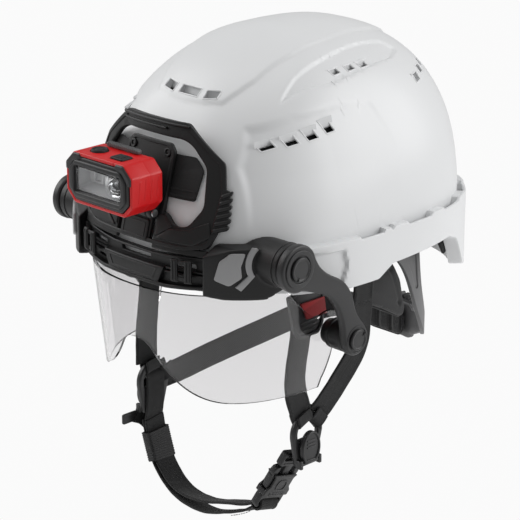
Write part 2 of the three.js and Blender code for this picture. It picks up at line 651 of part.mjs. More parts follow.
function chinStrap() {
  for (const side of [-1, 1]) {
    const hand = side > 0 ? "left" : "right";
    const y = side > 0 ? SLIDER.leftY : SLIDER.rightY;
    add(`strap_guard_${hand}`, strapGuard(side), DARK);
    const label = block([82.5, -64, -50], [83.3, -47, -38]);
    add(`strap_label_${hand}`, side > 0 ? label : mirrorX(label), RED);
    const path = [[77.5, -60, -30], [77.3, -61, -62], [76.6, -64, -98], [SLIDER_X, y - 3, -123]];
    add(`strap_front_${hand}`, webbing(path.map(([px, py, pz]) => [side * px, py, pz]),
      [[0, 1, 0.05], [0, 1, 0], [0, 1, 0.1], [0, 1, 0.2]]), FABRIC);
    add(`slider_${hand}`, sliderBody(y, side), DARK);
    add(`cam_lever_${hand}`, camLever(y, side), DARK);
  }
  add("strap_rear_left", webbing(
    [[90, -6, -32], [88, -6, -60], [84.5, -6, -84], [80, -18, -106], [77.5, -35, -124.5]],
    [[0, 1, 0], [0, 1, 0], [0, 1, -0.5], [0, 1, -0.9], [0, 1, -0.9]]), FABRIC);
  add("strap_rear_right", webbing(
    [[-76, -40, -140], [-73, 5, -134], [-64, 48, -127], [-47, 84, -121]],
    [[0, 0.25, 1], [0, 0.2, 1], [0, 0.2, 1], [0, 0.2, 1]]), FABRIC);
  chinWebbing();
  buckle();
}

function chinWebbing() {
  const lower = [[-75, -60, -168.5], [-74, -58, -182], [-66, -58, -203], [-42, -62, -219], [-8, -66, -222],
    [20, -66, -214], [38, -65, -206]];
  const upper = [[-72, -60, -168.5], [-71, -58, -182], [-63, -58, -200], [-40, -62, -214.5], [-8, -66, -214],
    [18, -66, -207], [38, -65, -201.5]];
  const widths = [[0, 1, 0], [0, 1, 0], [0, 1, 0], [0, 1, 0]];
  const layers = [lower, upper].map((points) => webbing(points, widths, WEB - 2, 1.5, 20));
  const sewn = [block([-75.5, -69, -172], [-71.5, -51, -168.5]), block([36, -74, -206.5], [39, -56, -201])];
  const keeperPath = [[-72.8, -58.4, -180], [-70, -57.8, -190], [-65.6, -58.2, -200]];
  const longer = [[-73.4, -58.6, -175], ...keeperPath, [-61, -58.6, -207]];
  const sleeve = webbing(keeperPath, widths, WEB + 3, 10.5, 5);
  const inside = webbing(longer, widths, WEB - 0.4, 8, 7);
  add("chin_strap", join(...layers, ...sewn), FABRIC);
  add("keeper_sleeve", cut(sleeve, inside), FABRIC);
  add("strap_end_tab", block([-84, -82, -172], [-81.6, -68, -164]), DARK);
}

// ---------------------------------------------------------------- build
add("shell", shell(), WHITE);
suspension();
napeCradle();
napeKnob();
add("visor_carrier", carrierBar(), BLACK);
addPair("hub_housing", hubHousing(), BLACK);
visorLinks();
lensParts();
add("lamp_mount_frame", lampMount(), BLACK);
latchClips();
add("lamp_strap", elasticStrap(), FABRIC);
lampParts();
chinStrap();

export default helmet;
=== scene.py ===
# %% [markdown]
# # An arborist helmet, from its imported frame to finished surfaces
# The frame holds every hard fact of the helmet: where each piece is, how big it is and what it moves
# with. This script never moves those pieces. It puts finer pieces in their places and gives every surface
# a material.

import json
import math

import bmesh
import bpy
import numpy as np
from mathutils import Matrix, Vector
from mathutils.bvhtree import BVHTree


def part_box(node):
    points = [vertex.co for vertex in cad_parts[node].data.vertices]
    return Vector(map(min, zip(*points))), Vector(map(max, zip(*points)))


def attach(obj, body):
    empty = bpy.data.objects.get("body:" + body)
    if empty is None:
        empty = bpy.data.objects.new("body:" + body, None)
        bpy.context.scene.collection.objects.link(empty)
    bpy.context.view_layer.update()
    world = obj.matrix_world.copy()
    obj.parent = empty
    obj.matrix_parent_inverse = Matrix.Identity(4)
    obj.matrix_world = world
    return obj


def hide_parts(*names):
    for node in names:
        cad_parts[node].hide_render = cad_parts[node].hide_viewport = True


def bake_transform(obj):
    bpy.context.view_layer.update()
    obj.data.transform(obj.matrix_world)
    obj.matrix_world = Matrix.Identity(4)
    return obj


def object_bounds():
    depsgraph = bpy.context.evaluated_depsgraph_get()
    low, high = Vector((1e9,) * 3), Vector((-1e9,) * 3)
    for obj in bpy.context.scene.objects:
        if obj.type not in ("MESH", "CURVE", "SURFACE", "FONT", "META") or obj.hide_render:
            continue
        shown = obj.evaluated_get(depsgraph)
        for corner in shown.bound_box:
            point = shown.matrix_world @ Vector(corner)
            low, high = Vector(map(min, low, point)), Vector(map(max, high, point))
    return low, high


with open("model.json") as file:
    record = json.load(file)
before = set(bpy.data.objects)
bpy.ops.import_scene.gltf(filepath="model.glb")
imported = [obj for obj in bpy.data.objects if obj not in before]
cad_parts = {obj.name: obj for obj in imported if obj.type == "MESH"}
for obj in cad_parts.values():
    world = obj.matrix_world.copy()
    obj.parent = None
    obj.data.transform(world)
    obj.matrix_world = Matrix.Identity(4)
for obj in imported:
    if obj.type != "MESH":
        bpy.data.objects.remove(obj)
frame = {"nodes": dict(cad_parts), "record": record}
CAD_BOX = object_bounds()
MM = 0.001

# %% [markdown]
# ## Camera, light and floor
# A product picture of a white helmet is lit from both sides by big soft lamps, and a little less from the
# front, so that the form turns grey towards the viewer and stays bright along its edges. A pale floor far
# below closes the view without a dark shadow, because the helmet hangs where a head would carry it.

# %% Camera
FOCUS = Vector((0, -0.0191, -0.0362))
CAMERA_TURN = math.radians(45)
CAMERA_RISE = math.radians(19)
CAMERA_AWAY = 1.6
CAMERA_LENS = 152.9


def place_camera():
    flat = math.cos(CAMERA_RISE)
    back = Vector((math.sin(CAMERA_TURN) * flat, -math.cos(CAMERA_TURN) * flat, math.sin(CAMERA_RISE)))
    camera = bpy.data.objects.new("camera", bpy.data.cameras.new("camera"))
    camera.data.lens = CAMERA_LENS
    camera.location = FOCUS + back * CAMERA_AWAY
    camera.rotation_euler = (-back).to_track_quat("-Z", "Y").to_euler()
    bpy.context.scene.collection.objects.link(camera)
    bpy.context.scene.camera = camera
    return camera


camera = place_camera()
print("camera at", [round(c, 3) for c in camera.location])

# %% Lamps, sky and floor
bpy.context.scene.view_settings.view_transform = "Standard"


def soft_lamp(name, place, size, watts, tint=(1, 1, 1)):
    data = bpy.data.lights.new(name, "AREA")
    data.size = size
    data.energy = watts
    data.color = tint
    lamp = bpy.data.objects.new(name, data)
    lamp.location = place
    lamp.rotation_euler = (Vector(place) - FOCUS).to_track_quat("Z", "Y").to_euler()
    bpy.context.scene.collection.objects.link(lamp)
    return lamp


soft_lamp("lamp_left", (-1.9, -0.9, 1.25), 1.8, 33)
soft_lamp("lamp_right", (1.5, 1.4, 0.9), 1.8, 33)
soft_lamp("lamp_top", (-0.2, -0.2, 2.0), 1.6, 9)

world = bpy.data.worlds.new("studio")
world.use_nodes = True
world.node_tree.nodes["Background"].inputs["Color"].default_value = (1, 1, 1, 1)
SKY_STRENGTH = 0.32
world.node_tree.nodes["Background"].inputs["Strength"].default_value = SKY_STRENGTH
bpy.context.scene.world = world

FLOOR_DROP = 0.35
FLOOR_HALF = 30


def pale_floor():
    level = CAD_BOX[0].z - FLOOR_DROP
    corners = [(-FLOOR_HALF, -FLOOR_HALF), (FLOOR_HALF, -FLOOR_HALF), (FLOOR_HALF, FLOOR_HALF),
               (-FLOOR_HALF, FLOOR_HALF)]
    mesh = bpy.data.meshes.new("floor")
    mesh.from_pydata([(x, y, level) for x, y in corners], [], [(0, 1, 2, 3)])
    floor = bpy.data.objects.new("floor", mesh)
    bpy.context.scene.collection.objects.link(floor)
    return floor


floor = pale_floor()
print("floor at", round(floor.data.vertices[0].co.z, 3))

# %% [markdown]
# ## Shader groups
# Moulded plastic is never one colour: it has a fine grain, a slightly uneven sheen and paler, duller
# corners where hands and branches rub it. Webbing is a weave, foam is a mass of beads. Each of these
# effects is a node group with named sockets, built once, and every material sets its own amounts on it.

# %% Helpers for node groups
def new_group(name, inputs, outputs):
    """A shader group. inputs are (name, kind, value), outputs (name, kind)."""
    group = bpy.data.node_groups.new(name, "ShaderNodeTree")
    for label, kind, value in inputs:
        socket = group.interface.new_socket(label, in_out="INPUT", socket_type=f"NodeSocket{kind}")
        socket.default_value = value
    for label, kind in outputs:
        group.interface.new_socket(label, in_out="OUTPUT", socket_type=f"NodeSocket{kind}")
    return group, Wiring(group)


class Wiring:
    """Adds nodes to a tree and links them by socket name."""

    def __init__(self, tree):
        self.tree = tree

    def node(self, kind, values=None, **settings):
        made = self.tree.nodes.new(kind if kind.startswith("NodeGroup") else f"ShaderNode{kind}")
        for name, value in settings.items():
            setattr(made, name, value)
        for key, value in (values or {}).items():
            self.put(value, made.inputs[key])
        return made

    def put(self, value, socket):
        """Links a socket's value, or sets a plain one."""
        if isinstance(value, bpy.types.NodeSocket):
            self.tree.links.new(value, socket)
        else:
            socket.default_value = value

    def math(self, operation, a, b=0.0, clamp=False):
        return self.node("Math", {0: a, 1: b}, operation=operation, use_clamp=clamp).outputs[0]

    def ramp(self, value, low, high, to_low=0.0, to_high=1.0):
        made = self.node("MapRange", {"Value": value, "From Min": low, "From Max": high, "To Min": to_low,
                                      "To Max": to_high}, interpolation_type="SMOOTHSTEP")
        return made.outputs[0]

    def noise(self, place, scale, detail=2.0, rough=0.5):
        made = self.node("TexNoise", {"Vector": place, "Scale": scale, "Detail": detail,
                "Roughness": rough})
        return made.outputs["Fac"]

    def blend(self, factor, a, b):
        made = self.node("Mix", {"Factor": factor}, data_type="RGBA")
        for slot, value in ((6, a), (7, b)):
            self.put(value, made.inputs[slot])
        return made.outputs[2]


def colour(r, g, b):
    """An sRGB colour from 0 to 255 as the linear value that a shader takes."""
    linear = [((c / 255 + 0.055) / 1.055) ** 2.4 if c > 10 else c / 255 / 12.92 for c in (r, g, b)]
    return (*linear, 1.0)


print("node helpers ready")

# %% Moulded grain: pinprick texture, cloudy sheen and rubbed edges
def make_moulded():
    group, w = new_group("moulded_grain", [
        ("Colour", "Color", (0.5, 0.5, 0.5, 1)), ("Worn Colour", "Color", (0.7, 0.7, 0.7, 1)),
        ("Grain Size", "Float", 0.0006), ("Wear", "Float", 0.5), ("Roughness", "Float", 0.5),
        ("Unevenness", "Float", 0.08),
    ], [("Colour", "Color"), ("Roughness", "Float"), ("Height", "Float")])
    given = w.node("NodeGroupInput").outputs
    place = w.node("TexCoord").outputs["Object"]
    grain = w.noise(place, w.math("DIVIDE", 1.0, given["Grain Size"]), 1.0)
    clouds = w.noise(place, 22.0, 3.0)
    scuffs = w.noise(w.node("Mapping", {"Vector": place, "Scale": (60, 60, 400)}).outputs[0], 1.0, 4.0,
                     0.65)
    ridge = w.ramp(w.node("NewGeometry").outputs["Pointiness"], 0.52, 0.62)
    rubbed = w.math("MULTIPLY", ridge, w.ramp(w.noise(place, 140.0, 2.0), 0.35, 0.65))
    scratched = w.math("MULTIPLY", w.ramp(scuffs, 0.62, 0.78), 0.25)
    worn = w.math("MULTIPLY", w.math("ADD", rubbed, scratched), given["Wear"], clamp=True)
    tone = w.blend(worn, given["Colour"], given["Worn Colour"])
    cloudy = w.math("MULTIPLY", w.math("SUBTRACT", clouds, 0.5), given["Unevenness"])
    shade = w.math("ADD", 1.0, cloudy)
    toned = w.node("VectorMath", {0: tone, "Scale": shade}, operation="SCALE").outputs[0]
    dull = w.math("ADD", given["Roughness"], w.math("MULTIPLY", cloudy, 1.6))
    dull = w.math("ADD", dull, w.math("MULTIPLY", worn, 0.12), clamp=True)
    w.node("NodeGroupOutput", {"Colour": toned, "Roughness": dull, "Height": grain})
    return group


MOULDED = make_moulded()
print("group:", MOULDED.name)

# %% Webbing weave: ribs across the strap, threads along it, from the strap's own length and width
def make_weave():
    group, w = new_group("webbing_weave", [
        ("Colour", "Color", (0.02, 0.02, 0.02, 1)), ("Light Thread", "Color", (0.08, 0.08, 0.08, 1)),
        ("Rib", "Float", 1.4), ("Thread", "Float", 0.9),
    ], [("Colour", "Color"), ("Roughness", "Float"), ("Height", "Float")])
    given = w.node("NodeGroupInput").outputs
    flat = w.node("SeparateXYZ", {0: w.node("UVMap").outputs["UV"]}).outputs
    across = w.math("DIVIDE", flat["X"], given["Thread"])
    along = w.math("DIVIDE", flat["Y"], given["Rib"])
    chevron = w.math("PINGPONG", across, 4.0)
    ribs = w.math("SINE", w.math("MULTIPLY", w.math("ADD", along, w.math("MULTIPLY", chevron, 0.5)),
            math.tau))
    threads = w.math("ABSOLUTE", w.math("SINE", w.math("MULTIPLY", across, math.pi)))
    lift = w.math("ADD", w.math("MULTIPLY", ribs, 0.5), w.math("MULTIPLY", threads, 0.7))
    place = w.node("TexCoord").outputs["Object"]
    fuzz = w.noise(place, 900.0, 2.0)
    wave = w.noise(place, 45.0, 2.0)
    light = w.math("MULTIPLY", w.ramp(lift, -0.2, 1.1), w.math("ADD", 0.3, w.math("MULTIPLY", fuzz, 0.9)))
    light = w.math("ADD", light, w.math("MULTIPLY", w.math("SUBTRACT", wave, 0.5), 0.5), clamp=True)
    tone = w.blend(light, given["Colour"], given["Light Thread"])
    dull = w.math("ADD", 0.62, w.math("MULTIPLY", fuzz, 0.3))
    height = w.math("ADD", lift, w.math("MULTIPLY", fuzz, 0.35))
    w.node("NodeGroupOutput", {"Colour": tone, "Roughness": dull, "Height": height})
    return group


WEAVE = make_weave()
print("group:", WEAVE.name)

# %% Soft covers: knitted fabric over foam
def make_knit():
    group, w = new_group("knit_cover", [
        ("Colour", "Color", (0.02, 0.02, 0.02, 1)), ("Light Loop", "Color", (0.07, 0.07, 0.07, 1)),
        ("Loop", "Float", 0.0013),
    ], [("Colour", "Color"), ("Roughness", "Float"), ("Height", "Float")])
    given = w.node("NodeGroupInput").outputs
    place = w.node("TexCoord").outputs["Object"]
    scale = w.math("DIVIDE", 1.0, given["Loop"])
    cells = w.node("TexVoronoi", {"Vector": place, "Scale": scale, "Randomness": 0.35}).outputs["Distance"]
    fuzz = w.noise(place, 1500.0, 2.0)
    loops = w.ramp(cells, 0.05, 0.6, 1.0, 0.0)
    light = w.math("MULTIPLY", loops, w.math("ADD", 0.25, fuzz), clamp=True)
    tone = w.blend(light, given["Colour"], given["Light Loop"])
    dull = w.math("ADD", 0.75, w.math("MULTIPLY", fuzz, 0.2))
    w.node("NodeGroupOutput", {"Colour": tone, "Roughness": dull, "Height": loops})
    return group


KNIT = make_knit()
print("groups:", [g.name for g in bpy.data.node_groups])

# %% [markdown]
# ## Materials
# One function wires a group into a Principled shader. Whatever is the same all over a surface is set on
# the shader itself: the coat of the shell, the sheen of the webbing, the clearness of the lens.

# %% A material from a group
def surface(name, group, amounts, bump, depth, **shader):
    material = bpy.data.materials.new(name)
    material.use_nodes = True
    w = Wiring(material.node_tree)
    principled = material.node_tree.nodes["Principled BSDF"]
    effect = w.node("Group", node_tree=group)
    for key, value in amounts.items():
        effect.inputs[key].default_value = value
    relief = w.node("Bump", {"Height": effect.outputs["Height"], "Strength": bump, "Distance": depth})
    w.tree.links.new(effect.outputs["Colour"], principled.inputs["Base Color"])
    w.tree.links.new(effect.outputs["Roughness"], principled.inputs["Roughness"])
    w.tree.links.new(relief.outputs["Normal"], principled.inputs["Normal"])
    for key, value in shader.items():
        principled.inputs[key.replace("_", " ")].default_value = value
    return material


def moulded(name, tone, worn, rough, grain=0.0006, wear=0.4, uneven=0.08, bump=0.25, **shader):
    amounts = {"Colour": colour(*tone), "Worn Colour": colour(*worn), "Grain Size": grain, "Wear": wear,
               "Roughness": rough, "Unevenness": uneven}
    return surface(name, MOULDED, amounts, bump, 0.00012, **shader)


print("material tools ready")

# %% Plastics, metal and lamp finishes
white_shell = moulded("white_shell", (228, 229, 230), (244, 244, 244), 0.4, 0.0011, 0.1, 0.03, 0.05,
                      Coat_Weight=0.15, Coat_Roughness=0.2)
black_moulding = moulded("black_moulding", (13, 13, 14), (38, 38, 39), 0.44, 0.0005, 0.35, 0.12, 0.3)
dark_moulding = moulded("dark_moulding", (38, 38, 39), (74, 74, 75), 0.4, 0.0005, 0.3, 0.1, 0.25)
grey_moulding = moulded("grey_moulding", (94, 94, 95), (134, 134, 135), 0.4, 0.0006, 0.3, 0.1, 0.25)
# Light grey satin, used only for the painted reflection of a soft lamp on the black hub housings.
painted_reflection_grey = moulded("painted_reflection_grey", (158, 158, 159), (200, 200, 201), 0.3, 0.0004, 0.3, 0.1, 0.25,
                      Metallic=0.35)
red_moulding = moulded("red_moulding", (206, 4, 10), (222, 26, 30), 0.38, 0.0006, 0.3, 0.08, 0.2)
rubber_button = moulded("rubber_button", (24, 24, 25), (46, 46, 47), 0.62, 0.0003, 0.2, 0.2, 0.3)
dull_steel = moulded("dull_steel", (176, 178, 180), (215, 215, 216), 0.3, 0.0003, 0.3, 0.1, 0.2,
                     Metallic=1.0)
bright_reflector = moulded("bright_reflector", (232, 234, 236), (250, 250, 250), 0.14, 0.0009, 0.1, 0.05,
        0.05,
                           Metallic=1.0)
white_tray = moulded("white_tray", (226, 227, 229), (250, 250, 250), 0.18, 0.0012, 0.3, 0.05, 0.1,
                     Metallic=0.35)
foam_black = moulded("foam_black", (14, 14, 15), (34, 34, 35), 0.85, 0.0022, 0.25, 0.3, 0.6)
soft_foam = moulded("soft_foam", (26, 26, 27), (42, 42, 43), 0.8, 0.0009, 0.2, 0.2, 0.5, Sheen_Weight=0.15)
pale_ground = moulded("pale_ground", (250, 250, 250), (250, 250, 250), 0.9, 0.02, 0.0, 0.004, 0.02)


def bright_to_the_eye(material, strength):
    """Only the eye sees the floor as a lit white table, so it throws no extra light up under the rim."""
    w = Wiring(material.node_tree)
    straight = w.node("LightPath").outputs["Is Camera Ray"]
    glow = w.node("Emission", {"Color": (1, 1, 1, 1), "Strength": strength})
    mix = w.node("MixShader", {0: straight, 1: material.node_tree.nodes["Principled BSDF"].outputs[0],
            2: glow.outputs[0]})
    w.tree.links.new(mix.outputs[0], material.node_tree.nodes["Material Output"].inputs["Surface"])


WHITE_TO_THE_EYE = 0.96
bright_to_the_eye(pale_ground, WHITE_TO_THE_EYE)
sky = Wiring(world.node_tree)
seen = sky.ramp(sky.node("LightPath").outputs["Is Camera Ray"], 0.0, 1.0, SKY_STRENGTH, WHITE_TO_THE_EYE)
world.node_tree.links.new(seen, world.node_tree.nodes["Background"].inputs["Strength"])
floor.data.materials.append(pale_ground)

print("floor and sky white to the eye at", WHITE_TO_THE_EYE)

# %% Webbing, knitted covers, thread and label
def woven(name, tone, light, rib=1.4, thread=0.9, bump=0.6, **shader):
    amounts = {"Colour": colour(*tone), "Light Thread": colour(*light), "Rib": rib, "Thread": thread}
    return surface(name, WEAVE, amounts, bump, 0.0002, **shader)


black_webbing = woven("black_webbing", (8, 8, 9), (29, 29, 30), Sheen_Weight=0.08, Sheen_Roughness=0.4)
elastic_band = woven("elastic_band", (9, 9, 10), (34, 34, 35), 2.4, 0.8, 0.8, Sheen_Weight=0.06)
red_label = woven("red_label", (128, 12, 18), (172, 26, 32), 0.5, 0.5, 0.3, Sheen_Weight=0.2)
dark_thread = woven("dark_thread", (44, 44, 46), (84, 84, 86), 0.4, 0.4, 0.4)
pad_cover = surface("pad_cover", KNIT, {"Colour": colour(20, 20, 21), "Light Loop": colour(56, 56, 58),
                                        "Loop": 0.0014}, 0.6, 0.0003, Sheen_Weight=0.3)

print("fabrics:", black_webbing.name, elastic_band.name, red_label.name, dark_thread.name, pad_cover.name)

# %% Clear lens and lamp window
def clear(name, tint, rough, ior, haze):
    """Clear plastic that lets lamplight straight through, with a faint uneven haze in its gloss."""
    material = bpy.data.materials.new(name)
    material.use_nodes = True
    w = Wiring(material.node_tree)
    principled = material.node_tree.nodes["Principled BSDF"]
    place = w.node("TexCoord").outputs["Object"]
    smear = w.noise(w.node("Mapping", {"Vector": place, "Scale": (14, 14, 40)}).outputs[0], 1.0, 3.0)
    gloss = w.ramp(smear, 0.35, 0.75, rough, rough + haze)
    w.tree.links.new(gloss, principled.inputs["Roughness"])
    principled.inputs["Base Color"].default_value = colour(*tint)
    principled.inputs["Transmission Weight"].default_value = 1.0
    principled.inputs["IOR"].default_value = ior
    lamplight = w.node("LightPath").outputs["Is Shadow Ray"]
    through = w.node("BsdfTransparent", {"Color": (0.9, 0.9, 0.9, 1)})
    mix = w.node("MixShader", {0: lamplight, 1: principled.outputs[0], 2: through.outputs[0]})
    w.tree.links.new(mix.outputs[0], material.node_tree.nodes["Material Output"].inputs["Surface"])
    return material


clear_visor = clear("clear_visor", (243, 242, 243), 0.0, 1.45, 0.02)
clear_window = clear("clear_window", (250, 250, 250), 0.0, 1.45, 0.02)
print(len(bpy.data.materials), "materials")

# %% [markdown]
# ## A small workshop of mesh tools
# Moulded parts are plates, turned rounds, tubes and swept strips. Each tool below makes one of them in
# millimetres as a closed mesh. A plate is drawn as a filled 2D curve, because Blender then rounds its
# edges on both faces and round every hole. The pieces are sized in millimetres and turned to metres once,
# at the end.

# %% Outlines
def arc(centre, r, start, end, steps=16):
    """Points on a circle, from start to end degrees."""
    turns = np.radians(np.linspace(start, end, steps + 1))
    return [(centre[0] + r * math.cos(t), centre[1] + r * math.sin(t)) for t in turns]


def bezier(a, b, c, d, steps=14):
    """Points on a cubic curve, its end left out."""
    t = np.linspace(0, 1, steps + 1)[:-1, None]
    a, b, c, d = (np.array(p, float) for p in (a, b, c, d))
    path = (1 - t) ** 3 * a + 3 * (1 - t) ** 2 * t * b + 3 * (1 - t) * t * t * c + t ** 3 * d
    return [tuple(p) for p in path]


def rounded(points, r, steps=5):
    """The polygon with each corner turned into a small curve. A point given twice counts once."""
    points = [p for i, p in enumerate(points) if math.dist(p, points[i - 1]) > 1e-6]
    made = []
    for i, spot in enumerate(points):
        here = np.array(spot, float)
        before = np.array(points[i - 1], float) - here
        after = np.array(points[(i + 1) % len(points)], float) - here
        reach = min(r, np.linalg.norm(before) / 2.2, np.linalg.norm(after) / 2.2)
        start = here + before / np.linalg.norm(before) * reach
        end = here + after / np.linalg.norm(after) * reach
        for t in np.linspace(0, 1, steps + 1):
            made.append(tuple((1 - t) ** 2 * start + 2 * t * (1 - t) * here + t * t * end))
    return made


def box_outline(u0, v0, u1, v1, r=1.0, steps=5):
    return rounded([(u0, v0), (u1, v0), (u1, v1), (u0, v1)], r, steps)


def circle(centre, r, steps=48):
    return arc(centre, r, 0, 360, steps)[:-1]


print("outline tools ready")

# %% Meshes from outlines, profiles and paths
def mesh_of(points, faces):
    mesh = bpy.data.meshes.new("part")
    mesh.from_pydata([tuple(p) for p in points], [], [tuple(f) for f in faces])
    return mesh


def cleaned(mesh, reach=0.004):
    shape = bmesh.new()
    shape.from_mesh(mesh)
    bmesh.ops.remove_doubles(shape, verts=shape.verts, dist=reach)
    bmesh.ops.dissolve_degenerate(shape, edges=shape.edges, dist=reach)
    bmesh.ops.recalc_face_normals(shape, faces=shape.faces)
    shape.to_mesh(mesh)
    shape.free()
    return mesh


def evaluated(carrier):
    """The object's mesh with its modifiers applied, and the object gone."""
    bpy.context.scene.collection.objects.link(carrier)
    bpy.context.view_layer.update()
    ready = carrier.evaluated_get(bpy.context.evaluated_depsgraph_get())
    mesh = bpy.data.meshes.new_from_object(ready)
    bpy.data.objects.remove(carrier)
    return mesh


def plate(outlines, low, high, edge=0.5, steps=2):
    """A plate in (u, v) from w = low to high, outlines[0] outside and the rest holes, its edges rounded."""
    curve = bpy.data.curves.new("plate", "CURVE")
    curve.dimensions = "2D"
    curve.fill_mode = "BOTH"
    for points in outlines:
        spline = curve.splines.new("POLY")
        spline.points.add(len(points) - 1)
        for spot, (u, v) in zip(spline.points, points):
            spot.co = (u, v, 0, 1)
        spline.use_cyclic_u = True
    half = (high - low) / 2
    edge = min(edge, half * 0.98)
    curve.extrude = half - edge
    curve.bevel_depth = edge
    curve.bevel_resolution = steps
    curve.offset = -edge
    mesh = evaluated(bpy.data.objects.new("plate", curve))
    mesh.transform(Matrix.Translation((0, 0, (low + high) / 2)))
    return cleaned(mesh)


print("plate tools ready")

# %% Grids, turned pieces and tubes
def grid(points, round_u=False, round_v=True, caps=True):
    """A surface through points[u][v]. Closed ends are filled with one face each."""
    n, m = points.shape[:2]
    us = range(n if round_u else n - 1)
    vs = range(m if round_v else m - 1)
    faces = [(u * m + v, u * m + (v + 1) % m, (u + 1) % n * m + (v + 1) % m, (u + 1) % n * m + v)
             for u in us for v in vs]
    if caps and not round_u and round_v:
        faces.append(tuple(range(m))[::-1])
        faces.append(tuple((n - 1) * m + v for v in range(m)))
    return cleaned(mesh_of(points.reshape(-1, 3), faces), 1e-5)


def turned(profile, sides=64):
    """(r, w) points turned round the w axis. The profile starts and ends on the axis or closes on itself."""
    turns = np.linspace(0, math.tau, sides, endpoint=False)
    ring = np.array([[(r * math.cos(t), r * math.sin(t), w) for t in turns] for r, w in profile])
    on_axis = abs(profile[0][0]) < 1e-6 and abs(profile[-1][0]) < 1e-6
    return grid(ring, round_u=not on_axis, caps=False)


def tube(path, r, sides=8, closed=False):
    """A round tube along the points."""
    path = np.array(path, float)
    ahead = np.roll(path, -1, 0) - np.roll(path, 1, 0)
    if not closed:
        ahead[0], ahead[-1] = path[1] - path[0], path[-1] - path[-2]
    ahead /= np.linalg.norm(ahead, axis=1)[:, None]
    side = np.cross(ahead, (0.13, 0.21, 0.97))
    side /= np.linalg.norm(side, axis=1)[:, None]
    top = np.cross(side, ahead)
    turns = np.linspace(0, math.tau, sides, endpoint=False)
    rings = np.stack([path + r * (side * math.cos(t) + top * math.sin(t)) for t in turns], 1)
    return grid(rings, round_u=closed, caps=not closed)


print("plate, grid, turning and tube tools ready")

# %% Moving, joining and carving meshes
def moved(mesh, rule):
    """The mesh with each point (u, v, w) moved by rule, which takes and gives an array."""
    count = len(mesh.vertices)
    co = np.zeros(count * 3)
    mesh.vertices.foreach_get("co", co)
    mesh.vertices.foreach_set("co", np.asarray(rule(co.reshape(-1, 3)), float).ravel())
    mesh.update()
    return mesh


def along_x(p):
    """Plate (u, v, w) to x = w, y = u, z = v."""
    return p[:, [2, 0, 1]]


def along_y(p):
    """Plate (u, v, w) to x = u, z = v and w towards the front."""
    return np.stack([p[:, 0], -p[:, 2], p[:, 1]], 1)


def backwards(p):
    """Plate (u, v, w) to x = u, z = v and w towards the back."""
    return p[:, [0, 2, 1]]


def spun_x(profile, centre, sides=48):
    """A profile of (r, x) turned about an axis along x through (y, z)."""
    def place(p):
        return np.stack([p[:, 2], p[:, 0] + centre[0], p[:, 1] + centre[1]], 1)
    return moved(turned(profile, sides), place)


def spun_y(profile, centre, sides=48):
    """A profile of (r, distance towards the front) turned about an axis along y through (x, z)."""
    def place(p):
        return np.stack([p[:, 0] + centre[0], -p[:, 2], p[:, 1] + centre[1]], 1)
    return moved(turned(profile, sides), place)


print("moving tools ready")

# %% Joining, mirroring and carving meshes
def joined(*meshes):
    shape = bmesh.new()
    for mesh in meshes:
        shape.from_mesh(mesh)
    whole = bpy.data.meshes.new("whole")
    shape.to_mesh(whole)
    shape.free()
    return whole


def mirrored(mesh):
    other = mesh.copy()
    moved(other, lambda p: p * (-1, 1, 1))
    other.flip_normals()
    return other


def carved(mesh, tool, how="DIFFERENCE", solver="EXACT"):
    body = bpy.data.objects.new("body", mesh)
    other = bpy.data.objects.new("tool", tool)
    bpy.context.scene.collection.objects.link(other)
    modifier = body.modifiers.new("carve", "BOOLEAN")
    modifier.operation = how
    modifier.solver = solver
    modifier.object = other
    made = evaluated(body)
    bpy.data.objects.remove(other)
    return made


def modified(mesh, kind, **settings):
    body = bpy.data.objects.new("body", mesh)
    modifier = body.modifiers.new("step", kind)
    for name, value in settings.items():
        setattr(modifier, name, value)
    return evaluated(body)


def sliced(mesh, axis, places):
    """Cuts the faces at planes across the axis, so that a flat plate can be bent."""
    shape = bmesh.new()
    shape.from_mesh(mesh)
    normal = Vector([1.0 if i == axis else 0.0 for i in range(3)])
    for place in places:
        parts = shape.verts[:] + shape.edges[:] + shape.faces[:]
        bmesh.ops.bisect_plane(shape, geom=parts, plane_co=normal * place, plane_no=normal, dist=1e-4)
    shape.to_mesh(mesh)
    shape.free()
    return mesh


print("carving tools ready")

# %% From a mesh to a piece of the helmet
def finished(name, mesh, material, body, replaces=(), crease=38):
    """Turns a mesh in millimetres into a piece in metres that rides on a body.

    For a strap across a joint, body is its two bodies and the places where it would start and end bending.
    These are not used: such a piece rides on no body, and its place is baked in.
    """
    mesh.transform(Matrix.Scale(MM, 4))
    mesh.name = name
    piece = bpy.data.objects.new(name, mesh)
    bpy.context.scene.collection.objects.link(piece)
    mesh.materials.clear()
    mesh.materials.append(material)
    mesh.shade_smooth()
    mesh.set_sharp_from_angle(angle=math.radians(crease))
    if isinstance(body, str):
        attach(piece, body)
    else:
        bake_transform(piece)
    if replaces:
        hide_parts(*replaces)
    return piece


def stand_in(node, mesh, material, body, crease=38):
    """A piece that takes the place of one CAD node, and is named after it."""
    return finished(f"{node}_cover", mesh, material, body, [node], crease)


def pair(name, mesh, material, bodies=("helmet", "helmet"), crease=38):
    """The wearer's left piece and its mirror image."""
    other = mirrored(mesh)
    for side, shape, body in (("left", mesh, bodies[0]), ("right", other, bodies[1])):
        stand_in(f"{name}_{side}", shape, material, body, crease)


def box_mm(node):
    low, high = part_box(node)
    return np.array(low) / MM, np.array(high) / MM


print("workshop ready")

